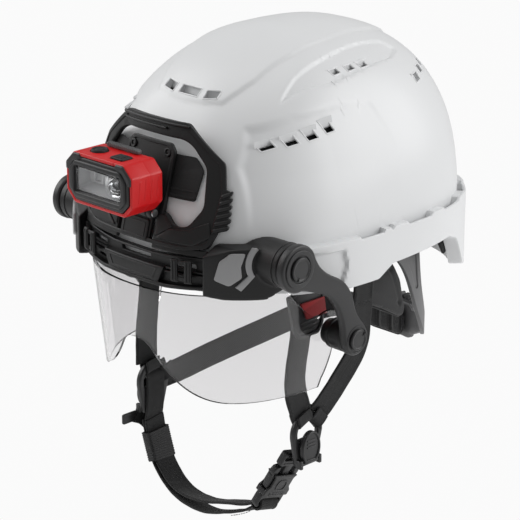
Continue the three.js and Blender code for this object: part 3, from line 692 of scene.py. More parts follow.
# %% Curved paths and webbing strips
def through(points, t):
    """The smooth curve through the points, at places t from 0 to 1, with even pull between uneven points."""
    points = np.array(points, float)
    spread = np.vstack([2 * points[0] - points[1], points, 2 * points[-1] - points[-2]])
    reach = np.asarray(t) * (len(points) - 1)
    cell = np.minimum(reach.astype(int), len(points) - 2)
    s = (reach - cell)[:, None]
    p0, p1, p2, p3 = (spread[cell + i] for i in range(4))
    d0, d1, d2 = (np.maximum(np.linalg.norm(b - a, axis=1) ** 0.5, 1e-4)[:, None]
                  for a, b in ((p0, p1), (p1, p2), (p2, p3)))
    m1 = ((p1 - p0) / d0 - (p2 - p0) / (d0 + d1) + (p2 - p1) / d1) * d1
    m2 = ((p2 - p1) / d1 - (p3 - p1) / (d1 + d2) + (p3 - p2) / d2) * d1
    return p1 + m1 * s + (-3 * p1 + 3 * p2 - 2 * m1 - m2) * s ** 2 + (2 * p1 - 2 * p2 + m1 + m2) * s ** 3


def strip_frame(points, widths, steps):
    """Points along a strap, with the directions across it and out of its face."""
    t = np.linspace(0, 1, steps + 1)
    path = through(points, t)
    ahead = np.gradient(path, axis=0)
    ahead /= np.linalg.norm(ahead, axis=1)[:, None]
    across = through(widths, t)
    across -= ahead * (across * ahead).sum(1)[:, None]
    across /= np.linalg.norm(across, axis=1)[:, None]
    return path, across, np.cross(ahead, across)


def strap(points, widths, wide=20.0, thick=1.7, steps=90, ripple=0.12):
    """Flat webbing with rounded selvedges, a faint waviness and weave lengths kept on its faces."""
    path, across, out = strip_frame(points, widths, steps)
    half = wide / 2
    lip = thick * 0.62
    section = [(-half, 0), (-half + 0.25, lip * 0.7), (-half + 0.9, lip)]
    section += [(a * half, thick / 2) for a in (-0.8, -0.4, 0, 0.4, 0.8)] + [(half - 0.9, lip),
            (half - 0.25, lip * 0.7)]
    section = section + [(-a, -b) for a, b in section]
    far = np.concatenate([[0], np.cumsum(np.linalg.norm(np.diff(path, axis=0), axis=1))])
    sway = ripple * np.sin(far / 7.3) * np.sin(far / 3.1 + 1)
    rows = np.stack([path + across * a + out * (b + sway)[:, None] for a, b in section], 1)
    mesh = grid(rows)
    keep_weave(mesh, rows, far, section)
    return mesh


def keep_weave(mesh, rows, far, section):
    """Writes each corner's place across and along the strap, in millimetres, as its UV."""
    flat = rows.reshape(-1, 3)
    place = {}
    for i, spot in enumerate(flat):
        place[tuple(np.round(spot, 3))] = (section[i % len(section)][0], far[i // len(section)])
    layer = mesh.uv_layers.new(name="weave")
    for loop in mesh.loops:
        key = tuple(np.round(mesh.vertices[loop.vertex_index].co, 3))
        layer.data[loop.index].uv = place.get(key, (0, 0))


print("strap tools ready")

# %% [markdown]
# ## The shell
# The real shell is one injection-moulded bowl: a squarish plan, a raised centre panel with three scoop
# vents under its front lip, a sunk band with the crown vents on each side, a sunk side panel with four
# slanted vents, and a thick band round the sides and back with open pockets along its top. It could be
# sculpted, but a formula keeps it in the CAD shell's own skin: columns run round the plan, rows run from
# the crown over the band and back up inside, and each panel lifts or sinks the rows by a millimetre or
# two. The vents are then cut through.

# %% The shell's form
SHELL_HIGH = box_mm("shell")[1]
BAND_OUT = 6.0
HALF_WIDTH = SHELL_HIGH[0] - BAND_OUT
DEPTH_FRONT = 134.8
DEPTH_REAR = SHELL_HIGH[1] - BAND_OUT
CROWN = 135.9
WALL = 3.5
PLAN_POWER = 2.7
RISE = {"side": 2.24, "front": 1.9, "rear": 2.77}


def bend(value, power=PLAN_POWER):
    return np.sign(value) * np.abs(value) ** (2 / power)


def dome(turn, z, grow=0.0):
    """Points of the shell's form at a turn round the plan and a height, grown outwards."""
    up = np.clip(z / (CROWN + grow), 0, 1)
    width, front, rear = ((1 - up ** power) ** (1 / power) for power in RISE.values())
    depth = np.where(np.sin(turn) < 0, (DEPTH_FRONT + grow) * front, (DEPTH_REAR + grow) * rear)
    return np.stack([(HALF_WIDTH + grow) * width * bend(np.cos(turn)), depth * bend(np.sin(turn)),
                     z + 0 * turn], -1)


def even_turns(count, grow=0.0):
    """Turns that step evenly round the plan."""
    fine = np.linspace(0, math.tau, 6001)
    ring = dome(fine, 0 * fine, grow)
    far = np.concatenate([[0], np.cumsum(np.linalg.norm(np.diff(ring, axis=0), axis=1))])
    return np.interp((np.arange(count) + 0.5) / count * far[-1], far, fine)


def inside_edge(spots, corners):
    """How far each 2D spot lies inside a polygon, in millimetres, negative outside."""
    best = np.full(len(spots), 1e9)
    inside = np.zeros(len(spots), bool)
    for i, end in enumerate(corners):
        start = corners[i - 1]
        side = np.subtract(end, start)
        along = np.clip(((spots - start) @ side) / (side @ side), 0, 1)
        best = np.minimum(best, np.linalg.norm(spots - start - along[:, None] * side, axis=1))
        crosses = (start[1] > spots[:, 1]) != (end[1] > spots[:, 1])
        slope = (end[0] - start[0]) / ((end[1] - start[1]) or 1e-9)
        inside ^= crosses & (spots[:, 0] < start[0] + slope * (spots[:, 1] - start[1]))
    return np.where(inside, best, -best)


def soft_step(value, wide):
    t = np.clip(value / wide + 0.5, 0, 1)
    return t * t * (3 - 2 * t)


print("plan", round(HALF_WIDTH * 2), "x", round(DEPTH_FRONT + DEPTH_REAR), "mm")

# %% Panels that lift or sink the skin
CENTRE_PANEL = [(0, -91.5), (17, -90), (31, -86), (36, -76), (40, -65), (42, -31), (39, 5), (35, 34),
                (31, 62), (22, 84), (0, 92)]
CROWN_BAND = [(62, -62), (56.6, -42), (53.6, -15), (48, 19), (45.6, 56), (52, 66), (60, 52), (65, 24),
              (69, -17)]
SIDE_PANEL = [(-106, 20), (-101, 64), (-88, 86), (-60, 92.5), (-30, 95), (6, 93), (20, 60), (10, 20)]


def panel_lift(p):
    """Millimetres that the skin moves outwards at each point."""
    top = np.stack([np.abs(p[:, 0]), p[:, 1]], 1)
    side = p[:, 1:]
    high = np.clip((p[:, 2] - 90) / 10, 0, 1)
    centre = np.vstack([CENTRE_PANEL, [(-x, y) for x, y in CENTRE_PANEL[-2:0:-1]]])
    lift = 1.5 * soft_step(inside_edge(np.stack([p[:, 0], p[:, 1]], 1), centre), 2.6) * high
    lift = lift - 1.7 * soft_step(inside_edge(top, CROWN_BAND), 1.8) * high
    fade = np.clip((20 - p[:, 1]) / 60, 0, 1) * np.clip((p[:, 2] - 18) / 40, 0, 1)
    sink = soft_step(inside_edge(side, SIDE_PANEL), 3.8) * fade * np.clip((np.abs(p[:, 0]) - 48) / 8, 0, 1)
    return lift - 2.3 * sink


print("panels:", len(CENTRE_PANEL), len(CROWN_BAND), len(SIDE_PANEL), "points")

# %% The rim and the band
RIM = [(-170, -19), (-100, -21), (-44, -25.2), (-12, -25.2), (2, -17), (66, -14.8), (78, -20), (95, -45),
       (110, -52),
       (170, -52)]
BAND_TOP = 10.0
POCKET_FLOOR = -3.0
LIP_DROP = 2.2
SLOT_FACE = [(-82, 6), (-44, 3), (-41, -8), (-47, -24), (-90, -24)]


def rim_height(y):
    return np.interp(y, *zip(*RIM))


def band_out(y, z):
    """How far the band stands off the dome, with the flat accessory seat sunk into its front end."""
    start = -78 - (BAND_TOP - z) * 0.21
    out = BAND_OUT * soft_step(y - start - 1.2, 2.4)
    seat = soft_step(inside_edge(np.stack([y, z + 0 * y], 1), SLOT_FACE), 1.6)
    return out - 2.4 * seat * (y > start)


def pocket_depth(far, y):
    """The open pockets along the band's top: long ones with a slanted and a square end."""
    pitch = 41.0
    at = np.mod(far, pitch)
    slant = np.clip((at - 3) / 5, 0, 1)
    square = np.clip((30 - at) / 1.2, 0, 1)
    return (BAND_TOP - POCKET_FLOOR) * np.minimum(slant, square) * (y > -30)


print("rim from", rim_height(-170), "to", rim_height(170), "mm")

# %% Rows of the shell, crown to rim to crown
COLUMNS = 460
CROWN_ROWS = 108
BAND_ROWS = 22
INNER_ROWS = 34
POCKET_FULL = 6.0
LIP_INSIDE = 0.66
LIP_SLOPE = 0.6
POCKET_WALL = [(0, 0.5), (0, 1), (0.5, 1), (0.93, 1)]
LIP_ROUND = [(0.7, 0.15), (0.78, 0.0), (0.9, 0.0), (0.97, 0.25), (1, 0.8)]


def shell_rows():
    turn = even_turns(COLUMNS)
    base = dome(turn, 0 * turn)
    far = np.cumsum(np.linalg.norm(np.roll(base, -1, 0) - base, axis=1))
    mid = far[np.argmin(np.abs(base[:, 0]) + (base[:, 1] < 0) * 1e3)]
    depth = pocket_depth(np.abs(far - mid) + 14, base[:, 1])
    y, rim = base[:, 1], rim_height(base[:, 1])
    rows = []
    steps = np.sin(np.linspace(0.006, 1, CROWN_ROWS) * math.pi / 2)
    for share in steps:
        level = CROWN * (1 - share ** RISE["side"]) ** (1 / RISE["side"])
        z = (BAND_TOP - depth) + (CROWN - BAND_TOP + depth) * level / CROWN
        skin = dome(turn, z)
        outwards = skin / (np.linalg.norm(skin, axis=1)[:, None] + 1e-9)
        rows.append(skin + outwards * panel_lift(skin)[:, None])
    open_pocket = np.clip(depth / POCKET_FULL, 0, 1)
    for z_share, out_share in POCKET_WALL:
        z = BAND_TOP - depth + (depth - LIP_DROP * open_pocket) * z_share
        rows.append(dome(turn, z, LIP_INSIDE * out_share * band_out(y, z)))
    drop = LIP_SLOPE * (1 - open_pocket)
    lip = BAND_TOP - LIP_DROP * open_pocket
    for out_share, down in LIP_ROUND:
        z = lip - down - drop * (out_share - 0.6)
        rows.append(dome(turn, z, out_share * band_out(y, z)))
    for share in np.linspace(0, 1, BAND_ROWS)[1:]:
        z = lip - LIP_ROUND[-1][1] - (lip - LIP_ROUND[-1][1] - rim - 0.9) * share
        rows.append(dome(turn, z, band_out(y, z)))
    for out, up in ((-0.5, 0.25), (-1.4, 0.0)):
        z = rim + up
        rows.append(dome(turn, z, band_out(y, z) + out))
    for share, up in ((0.5, 0.0), (1, 0.0), (1, 0.5)):
        z = rim + up
        rows.append(dome(turn, z, (band_out(y, z) - 1.4) * (1 - share) - WALL * share))
    for share in np.linspace(0, 1, INNER_ROWS)[1:]:
        inner = CROWN - WALL
        level = inner * (1 - math.cos(share * math.pi / 2 * 0.985) ** RISE["side"]) ** (1 / RISE["side"])
        z = np.minimum(rim + 0.5 + (inner - rim - 0.5) * level / inner, inner - 0.05)
        rows.append(dome(turn, z, -WALL))
    return np.stack(rows)


def closed_bowl(rows):
    """A closed mesh from the rows, with a point at each crown."""
    n, m = rows.shape[:2]
    points = list(rows.reshape(-1, 3)) + [rows[0].mean(0), rows[-1].mean(0)]
    faces = [(u * m + v, u * m + (v + 1) % m, (u + 1) * m + (v + 1) % m, (u + 1) * m + v)
             for u in range(n - 1) for v in range(m)]
    faces += [(n * m, (v + 1) % m, v) for v in range(m)]
    faces += [(n * m + 1, (n - 1) * m + v, (n - 1) * m + (v + 1) % m) for v in range(m)]
    shape = mesh_of(points, faces)
    return cleaned(shape, 1e-4)


shell_skin = closed_bowl(shell_rows())
print("shell skin:", len(shell_skin.polygons), "faces")

# %% Vents: slanted openings with a rounded lip
def vent_frame(spot, aim, roll):
    """Axes of a vent: u across it, v up its slant, w out of the shell."""
    out = Vector(aim).normalized()
    across = Vector((0, 0, 1)).cross(out).normalized()
    up = out.cross(across)
    turn = Matrix.Rotation(math.radians(roll), 3, out)
    return np.array([turn @ across, turn @ up, out]), np.array(spot, float)


SIDE_VENTS = [(70, -83, 77.3, 11, 7), (78, -68, 79.6, 9.6, 8.2), (82.3, -53, 82, 8.6, 9.4),
              (84, -38.5, 85.2, 7.6, 10.6)]
CROWN_VENTS = [(62.5, -8.5, 114), (62.5, 6.5, 114.5), (62.5, 20, 115)]
BACK_VENTS = [(54, 88, 102), (62, 79.5, 100), (70, 68, 97.5)]
SCOOP_VENTS = [(-20, 12), (0, 19), (20, 12)]
VENT_DEEP = 9.0


def all_vents():
    """(spot, way out of the shell, roll, width, height, slant) of each vent."""
    vents = []
    for s in (-1, 1):
        for k, (x, y, z, wide, high) in enumerate(SIDE_VENTS):
            vents.append(((s * x, y, z), (s * 0.82, -0.35, 0.45), s * (8 + 2 * k), wide, high, -s * 3.2))
        for x, y, z in CROWN_VENTS:
            vents.append(((s * x, y, z), (s * 0.62, -0.02, 0.78), s * 6, 8, 5.4, -s * 1.6))
        for x, y, z in BACK_VENTS:
            vents.append(((s * x, y, z), (s * 0.5, 0.55, 0.65), -s * 14, 8, 7, s * 1.4))
    for x, wide in SCOOP_VENTS:
        spot = (x, -86 + abs(x) * 0.08, 102.5)
        vents.append((spot, (x / 110, -0.66, 0.75), x * 0.15, wide, 7.4, x * 0.06))
    return vents


VENTS = all_vents()


def vent_outline(wide, high, slant):
    corners = [(-wide / 2 - slant / 2, -high / 2), (wide / 2 - slant / 2, -high / 2),
               (wide / 2 + slant / 2, high / 2), (-wide / 2 + slant / 2, high / 2)]
    return rounded(corners, 0.9, 3)


def vent_lip(skin, axes, spot, outline):
    """A rounded bead laid on the skin round the opening."""
    path = []
    for u, v in outline:
        start = spot + axes[0] * u + axes[1] * v + axes[2] * 15
        found = skin.ray_cast(Vector(start), Vector(-axes[2]), 40)
        if found[0] is not None:
            path.append(np.array(found[0]) - axes[2] * 0.35)
    return tube(path, 0.75, 8, closed=True)


def vent_shelf(axes, spot, wide, high):
    """The white slope inside a vent's upper half, which hides the liner from above."""
    slope = [(high / 2 + 0.6, -0.9), (high / 2 + 0.6, -2.4), (-high * 0.08, -5.6), (-high * 0.02, -4.2)]
    ends = [[(u, v, w) for v, w in slope] for u in (-wide / 2 - 2, wide / 2 + 2)]
    return moved(grid(np.array(ends)), lambda p: p @ axes + spot)


def cut_vents(skin):
    surface_tree = BVHTree.FromPolygons([v.co for v in skin.vertices], [p.vertices for p in skin.polygons])
    tools, lips, shelves = [], [], []
    for spot, aim, roll, wide, high, slant in VENTS:
        axes, at = vent_frame(spot, aim, roll)
        outline = vent_outline(wide, high, slant)
        tool = plate([outline], -VENT_DEEP, VENT_DEEP, 0.02, 0)
        tools.append(moved(tool, lambda p, a=axes, s=at: p @ a + s))
        lips.append(vent_lip(surface_tree, axes, at, outline))
        shelves.append(vent_shelf(axes, at, wide, high))
    opened = carved(skin, joined(*tools))
    return opened, lips + shelves


shell_open, vent_lips = cut_vents(shell_skin)
print("vents:", len(VENTS), "shell now", len(shell_open.polygons), "faces")
stand_in("shell", joined(shell_open, *vent_lips), white_shell, "helmet", 34)

# %% Black strip inside the rear rim
STRIP_START = 64


def rear_strip():
    turn = even_turns(COLUMNS)
    turn = turn[dome(turn, 0 * turn)[:, 1] > STRIP_START]
    start = dome(turn, 0 * turn)[:, 1] - STRIP_START
    low = np.maximum(-12 - start * 1.1, -34)
    edges = [(-8 + 0 * low, -4.0), (low, -4.0), (low, -5.6), (-8 + 0 * low, -5.6)]
    return grid(np.stack([dome(turn, z, grow) for z, grow in edges], 1))


finished("rear_rim_strip", rear_strip(), foam_black, "helmet", crease=40)
print("rear strip made")

# %% [markdown]
# ## Bending a flat plate round the helmet
# The visor carrier and the lamp's mount frame are flat drawings on a curved front. They are drawn flat,
# sliced into narrow bands, and each point is then moved onto the curved form, out along its own normal.
# This keeps every hole and rounded edge crisp, where a boolean with a curved body would leave ragged
# ones.

# %% Rules that wrap a plate on a form
def wrapped(place):
    """A rule from a surface place(u, v): w goes out along the surface's normal."""
    step = 0.05

    def rule(p):
        u, v, w = p.T
        here = place(u, v)
        along_u = place(u + step, v) - place(u - step, v)
        along_v = place(u, v + step) - place(u, v - step)
        out = np.cross(along_u, along_v)
        out /= np.linalg.norm(out, axis=1)[:, None]
        return here + out * w[:, None]
    return rule


def front_form(width, depth, power=PLAN_POWER):
    """The front half of a squarish form whose half width and depth change with height: u is x, v is z."""
    def place(x, z):
        share = np.clip(np.abs(x) / width(z), 0, 0.999)
        return np.stack([x, -depth(z) * (1 - share ** power) ** (1 / power), z + 0 * x], -1)
    return place


def dome_width(grow):
    return lambda z: (HALF_WIDTH + grow) * (1 - np.clip(z / (CROWN + grow), 0,
            1) ** RISE["side"]) ** (1 / RISE["side"])


def dome_depth(grow):
    return lambda z: (DEPTH_FRONT + grow) * (1 - np.clip(z / (CROWN + grow), 0,
            1) ** RISE["front"]) ** (1 / RISE["front"])


def dome_front(grow):
    return wrapped(front_form(dome_width(grow), dome_depth(grow)))


def dome_side(grow):
    """The wearer's left of the form: u is -y, v is z."""
    def place(u, z):
        share = np.clip(np.abs(u) / dome_depth(grow)(z), 0, 0.999)
        return np.stack([dome_width(grow)(z) * (1 - share ** PLAN_POWER) ** (1 / PLAN_POWER), -u,
                         z + 0 * u], -1)
    return wrapped(place)


MOUNT_LOW = 9.5
MOUNT_LEAN = {"side": 0.38, "front": 0.278}
mount_front = wrapped(front_form(lambda z: 112 - MOUNT_LEAN["side"] * (z - MOUNT_LOW),
                                 lambda z: 141 - MOUNT_LEAN["front"] * (z - MOUNT_LOW)))


def bent(outlines, low, high, rule, edge=0.6, steps=2, pitch=3.0):
    """A plate bent onto a form."""
    us = [u for u, _ in outlines[0]]
    mesh = plate(outlines, low, high, edge, steps)
    sliced(mesh, 0, np.arange(min(us) + pitch, max(us), pitch))
    return moved(mesh, rule)


print("wrap rules ready")

# %% [markdown]
# ## The lamp's mount frame
# The frame clips on the carrier and stands in front of the shell. It is an eight-sided ring with a double
# ridge on its top edge, folded facets below, a plain tab in the middle and slanted finger grips at both
# sides.

# %% Mount frame
FRAME_OUTSIDE = [(-29.5, 91), (29.5, 91), (58, 67.5), (67, 33), (61, 13), (45, 9.7), (-45, 9.7), (-61, 13),
                 (-67, 33),
                 (-58, 67.5)]
FRAME_WINDOW = [(-28, 80), (28, 80), (36, 76.5), (48, 64), (52, 38), (44, 25), (34, 24), (25, 32),
                (-25, 32), (-34, 24),
                (-44, 25), (-52, 38), (-48, 64), (-36, 76.5)]
TAB_GAPS = [box_outline(side * 16 - 1.7, 11, side * 16 + 1.7, 26, 1.2) for side in (-1, 1)]


def frame_facets():
    """Raised folds on the lower plate, one each side of the tab."""
    parts = []
    for side in (-1, 1):
        wing = rounded([(side * u, v) for u, v in [(20, 14), (31, 22.5), (45, 23.5), (58, 30), (61, 20),
                (50, 13)]], 1.5)
        fold = rounded([(side * u, v) for u, v in [(18.5, 15), (19, 30), (26, 30.5), (33, 23.5), (21, 16)]],
                       1.0)
        parts.append(bent([wing], -1.5, 1.1, mount_front, 1.0))
        parts.append(bent([fold], -1.5, 0.7, mount_front, 0.6))
    return parts


def finger_grips():
    parts = []
    for side in (-1, 1):
        for row in range(6):
            low, edge = 22.5 + 4.4 * row, 69.4 - max(0, row - 1) * 0.8
            rib = [(60.5, low), (edge, low + 2.8), (edge, low + 6.0), (60.5, low + 3.2)]
            parts.append(bent([rounded([(side * u, v) for u, v in rib], 1.4)], -3.6, 2.2, mount_front, 1.4,
                              3))
        backing = [(60, 22.5), (67.4, 25), (68.2, 30), (64.8, 50), (60, 52)]
        parts.append(bent([rounded([(side * u, v) for u, v in backing], 1.5)], -3.8, 0.9, mount_front, 0.9))
    return parts


def mount_frame():
    body = bent([rounded(FRAME_OUTSIDE, 2), rounded(FRAME_WINDOW, 4), *TAB_GAPS], -4.0, 0.0, mount_front,
                0.9)
    brim = bent([rounded(FRAME_OUTSIDE, 3), rounded([(u * 0.955, 50 + (v - 50) * 0.93) for u,
            v in FRAME_OUTSIDE], 3)],
                -1.0, 0.8, mount_front, 0.5)
    ridges = [bent([box_outline(-32, 87.6, 31, 89.4, 0.8)], -0.5, 2.7, mount_front, 0.7),
              bent([box_outline(-31, 84.4, 13, 85.9, 0.7)], -0.5, 1.9, mount_front, 0.6)]
    tab = bent([box_outline(-13, 9.9, 13, 24.5, 2.2)], -1.0, 1.4, mount_front, 0.7)
    tab_edge = bent([box_outline(-10.6, 12, 10.6, 22.2, 1.6), box_outline(-9.8, 12.8, 9.8, 21.4, 1.2)], 1.0,
                    1.75,
                    mount_front, 0.25)
    lips = [bent([rounded([(side * 17.5, 6.9), (side * 61, 6.9), (side * 61, 11.5), (side * 17.5, 11.5)],
                          0.8)], -3.6,
                 -0.4, mount_front, 0.8) for side in (-1, 1)]
    return joined(body, brim, *ridges, tab, tab_edge, *lips, *frame_facets(), *finger_grips())


finished("mount_frame_cover", mount_frame(), black_moulding, "helmet", ["lamp_mount_frame"],
         32)
print("mount frame made")

# %% [markdown]
# ## The visor carrier
# The carrier is a hooped beam with open windows. A plain raised plate sits in its middle, two rails run
# to the spring clips, and its lower edge is a clean line over the lens. Rails and plate are separate
# plates bent on the same form, so that light falls through the gaps between them as it does on the real
# beam.

# %% Carrier beam
CARRIER_HIGH = box_mm("visor_carrier")[1]
carrier_form = dome_front(0.7)
BEAM = 7.4


def carrier():
    wide = CARRIER_HIGH[0]
    back = rounded([(-wide, -15.6), (-30, -18.6), (30, -18.6), (wide, -15.6), (wide, 6.4), (20, 3.6),
                    (-20, 3.6),
                    (-wide, 6.4)], 1.2)
    windows = [box_outline(side * 41 - 9.5, -3.4, side * 41 + 9.5, 0.2, 1.2) for side in (-1, 1)]
    windows += [box_outline(side * 38 - 4, -13.4, side * 38 + 4, -11.6, 0.6) for side in (-1, 1)]
    windows += [box_outline(-14.5, -2.2, 14.5, 1.4, 1.4)]
    parts = [bent([back, *windows], 0.2, 3.2, carrier_form, 0.5)]
    lower = rounded([(-wide, -15.8), (-30, -18.8), (30, -18.8), (wide, -15.8), (wide, -13.2), (30, -16),
                     (-30, -16),
                     (-wide, -13.2)], 0.8)
    parts.append(bent([lower], 1, BEAM, carrier_form, 0.8))
    plain = rounded([(-24, -15.8), (24, -15.8), (29, -4.2), (-29, -4.2)], 1.0)
    parts.append(bent([plain], 2, BEAM + 0.4, carrier_form, 0.9))
    inset = rounded([(-19, -13), (19, -13), (22.4, -6.6), (-22.4, -6.6)], 0.8)
    brow = rounded([(-20.2, -13.9), (20.2, -13.9), (24, -5.7), (-24, -5.7)], 0.8)
    parts.append(bent([brow, inset], BEAM, BEAM + 0.7, carrier_form, 0.3))
    for side in (-1, 1):
        for z, out in ((-4.9, 5.6), (-7.2, 6.6)):
            rail = box_outline(min(side * 29, side * 57), z - 0.7, max(side * 29, side * 57), z + 0.7, 0.4)
            parts.append(bent([rail], 2.4, out, carrier_form, 0.5))
        end = box_outline(side * 59 - 2.6, -15, side * 59 + 2.6, 5.2, 1.0)
        parts.append(bent([end], 2.0, BEAM, carrier_form, 0.9))
    top = rounded([(-wide, 3.6), (-20, 1.9), (20, 1.9), (wide, 3.6), (wide, 6.2), (20, 3.6), (-20, 3.6),
                   (-wide, 6.2)], 0.6)
    parts.append(bent([top], 1, 5.2, carrier_form, 0.7))
    return joined(*parts)


def latch_clip():
    """The left spring clip: two posts, a bridge and a ribbed tongue."""
    form = dome_front(9.0)
    posts = [bent([box_outline(u - 2.6, -11.5, u + 2.6, 4.6, 1.0)], 0, 2.5, form, 0.8) for u in (41, 51)]
    ties = [bent([box_outline(41, v - 1.5, 51, v + 1.5, 0.8)], 0.2, 1.7, form, 0.6) for v in (-9, 2.4)]
    ribs = [bent([box_outline(u - 0.6, -10.3, u + 0.6, 3.4, 0.4)], 2.2, 2.95, form, 0.3) for u in (39.9,
            42.1, 49.9, 52.1)]
    return joined(*posts, *ties, *ribs)


stand_in("visor_carrier", carrier(), black_moulding, "helmet", 32)
pair("latch_clip", latch_clip(), black_moulding, crease=32)
print("carrier and clips made")

# %% [markdown]
# ## Hubs, arms and caps
# A housing grows out of each end of the carrier and ends in a round hub. The arm turns on the hub and
# carries the lens on a second, smaller pivot. The housing is a blend of a body and a drum, so it is
# carved from solid forms, remeshed into one skin and smoothed, which rounds every edge at once. The arm
# is a plain plate of one outline.

# %% Housing of the left hub, with light grey panels painted on it as a reflection
HUB = np.array([-99.0, 5.0])
HUB_R = 15.7
PIVOT = np.array([-42.0, -60.0])
PIVOT_R = 11.5
HUB_OUT = box_mm("hub_housing_left")[1][0]
ARM_LOW, ARM_HIGH = box_mm("arm_left")


def form_solid(grow, columns=150, rows=26):
    turn = even_turns(columns, grow)
    rings = [dome(turn, np.full(columns, z), grow) for z in np.linspace(-60, 60, rows)]
    return grid(np.stack(rings))


def hub_housing():
    side = plate([rounded([(-139, -17.5), (-139, 8), (-124, 15.6), (-88, 17.6), (-85, 2), (-97.5, -13.6),
            (-108, -20),
                           (-128, -20)], 1.5)], 62.4, 103.6, 0.05, 0)
    body = carved(moved(side, along_x), form_solid(12.6), "INTERSECT")
    end = HUB_OUT - 0.1
    drum = spun_x([(0, 72), (HUB_R - 0.2, 72), (HUB_R - 0.2, end), (0, end)], HUB, 72)
    whole = carved(carved(body, drum, "UNION"), form_solid(0.9), "DIFFERENCE")
    skin = modified(whole, "REMESH", mode="VOXEL", voxel_size=0.75)
    return modified(skin, "SMOOTH", factor=0.5, iterations=7)


def housing_grooves():
    """Two shallow rings on the drum, where the arm's collar meets it."""
    profile = [(HUB_R - 1.2, 104), (HUB_R + 0.25, 104.3), (HUB_R + 0.25, 105.6), (HUB_R - 1.2, 105.9)]
    return spun_x(profile, HUB, 72)


def painted_hub_reflections():
    """Light grey panels on the black housing, a painted reflection of a soft lamp: a broad one, a bent strip
    beside it and a small bar on top.
    """
    centre = (-HUB[0], HUB[1])
    panel = rounded([(118.6, 13.4), (121.2, 4.5), (120.7, -3.2), (126.6, -9.4), (132.6, -5.4), (130.4, 7.5),
                     (125.5, 13.2)], 1.4)
    strip = arc(centre, 16.9, 40, -25, 14) + [(121.2, -12.6), (123.9, -9.9)] + arc(centre, 20.1, -20, 38,
            14)
    form = dome_side(12.75)

    def facing_out(p):
        return form(p * (1, 1, -1))
    bar = box_outline(112.5, 15.2, 115.5, 17.0, 0.5)
    return joined(*(moved(sliced(plate([o], -0.75, 1.6, 0.4), 0, np.arange(108, 134, 2.5)), facing_out)
                    for o in (panel, strip, bar)))


pair("hub_housing", joined(hub_housing(), housing_grooves()), black_moulding,
     crease=50)
# Light grey panels on each hub housing: a painted reflection of a soft lamp, laid on as separate pieces.
reflection_mesh = painted_hub_reflections()
other_reflection_mesh = mirrored(reflection_mesh)
finished("hub_reflection_left", reflection_mesh, painted_reflection_grey, "helmet")
finished("hub_reflection_right", other_reflection_mesh, painted_reflection_grey, "helmet")
print("hub housings made")

# %% Arms
def arm_outline():
    hub = arc(HUB, HUB_R + 0.8, -82, -344, 44)
    pivot = arc(PIVOT, PIVOT_R, 12, -184, 30)
    top = bezier(hub[-1], (-79, 0), (-72, -4.6), (-64, -9))
    shoulder = bezier((-64, -9), (-54, -13.6), (-46.8, -21), (-43.8, -36))
    outer = bezier((-43.8, -36), (-41.6, -44), (-34, -49), pivot[0], 8)
    back = bezier(pivot[-1], (-54.2, -52), (-54.6, -46), (-57.4, -39.5), 8)
    neck = bezier((-57.4, -39.5), (-61.5, -28.5), (-68, -21.6), (-77, -18.2))
    under = bezier((-77, -18.2), (-84, -15.6), (-90, -12.6), hub[0], 8)
    return hub[:-1] + top + shoulder + outer + pivot[:-1] + back + neck + under


def arm():
    bore = circle(HUB, 5.5, 32)
    pin = circle(PIVOT, 3.5, 24)
    body = plate([arm_outline(), bore, pin], ARM_LOW[0], ARM_HIGH[0], 1.7, 4)
    hub_rim = plate([circle(HUB, 13.2, 64), circle(HUB, 9.6, 64)], ARM_HIGH[0] - 0.6, ARM_HIGH[0] + 0.9,
                    0.5)
    pivot_rim = plate([circle(PIVOT, 10.2, 48), circle(PIVOT, 8.8, 48)], ARM_HIGH[0] - 0.6,
                      ARM_HIGH[0] + 0.4, 0.3)
    return moved(joined(body, hub_rim, pivot_rim), along_x)


def cap(centre, r, pin_r, deep, notch):
    """A snap-in cap: a dished disc with a small driver notch at its rim, on a pin."""
    low, high = ARM_HIGH[0] + 0.35, ARM_HIGH[0] + 2.2
    disc = turned([(0, low - 0.1), (r - 0.5, low - 0.1), (r - 0.1, low + 0.4), (r - 0.2, high - 0.5),
                   (r - 0.8, high), (r - 1.6, high - 0.1), (r - 2.2, high - 0.5), (0, high - 0.35)], 72)
    slot = plate([box_outline(-1.5, -1.5, 1.5, 1.5, 0.4)], high - 0.9, high + 1, 0.1)
    spot = (r - 1.9) * np.array([math.cos(math.radians(notch)), math.sin(math.radians(notch))])
    slot.transform(Matrix.Translation((*spot, 0)) @ Matrix.Rotation(math.radians(notch), 4, "Z"))
    disc = carved(disc, slot)
    pin = turned([(0, deep), (pin_r, deep), (pin_r, low), (0, low)], 32)

    def place(p):
        return np.stack([p[:, 2], p[:, 0] + centre[0], p[:, 1] + centre[1]], 1)
    return moved(joined(disc, pin), place)


VISOR = ("visor_arms", "visor_arms")
pair("arm", arm(), dark_moulding, VISOR, crease=30)
pair("hub_cap", cap(HUB, 8.6, 5.0, 100, 235), dark_moulding, VISOR, crease=30)
pair("pivot_cap", cap(PIVOT, 7.6, 3.0, 101.2, 48), dark_moulding, VISOR, crease=30)
print("arms and caps made")

# %% [markdown]
# ## The lens
# The lens is one curved sheet of clear plastic with a notch for the nose and an ear at each pivot. It is
# a real two-sided sheet, because clear plastic shows its thickness at every edge: a bright line with a
# dark one beside it.

# %% Lens sheet
LENS_HALF = 90.0
LENS_DEPTH = 104.0
LENS_REAR = -43.0
LENS_WALL = 2.2
LENS_POWER = 2.3
LENS_TOP = -21.6


def lens_ring(z, shrink, columns=240):
    down = max(0.0, -21.5 - z)
    turn = np.linspace(0, math.tau, columns, endpoint=False)
    depth = LENS_DEPTH - 0.15 * down - shrink
    wide = LENS_HALF - 0.02 * down - shrink
    return np.stack([wide * bend(np.cos(turn), LENS_POWER),
                     LENS_REAR + depth * bend(np.sin(turn), LENS_POWER),
                     np.full(columns, z)], -1)


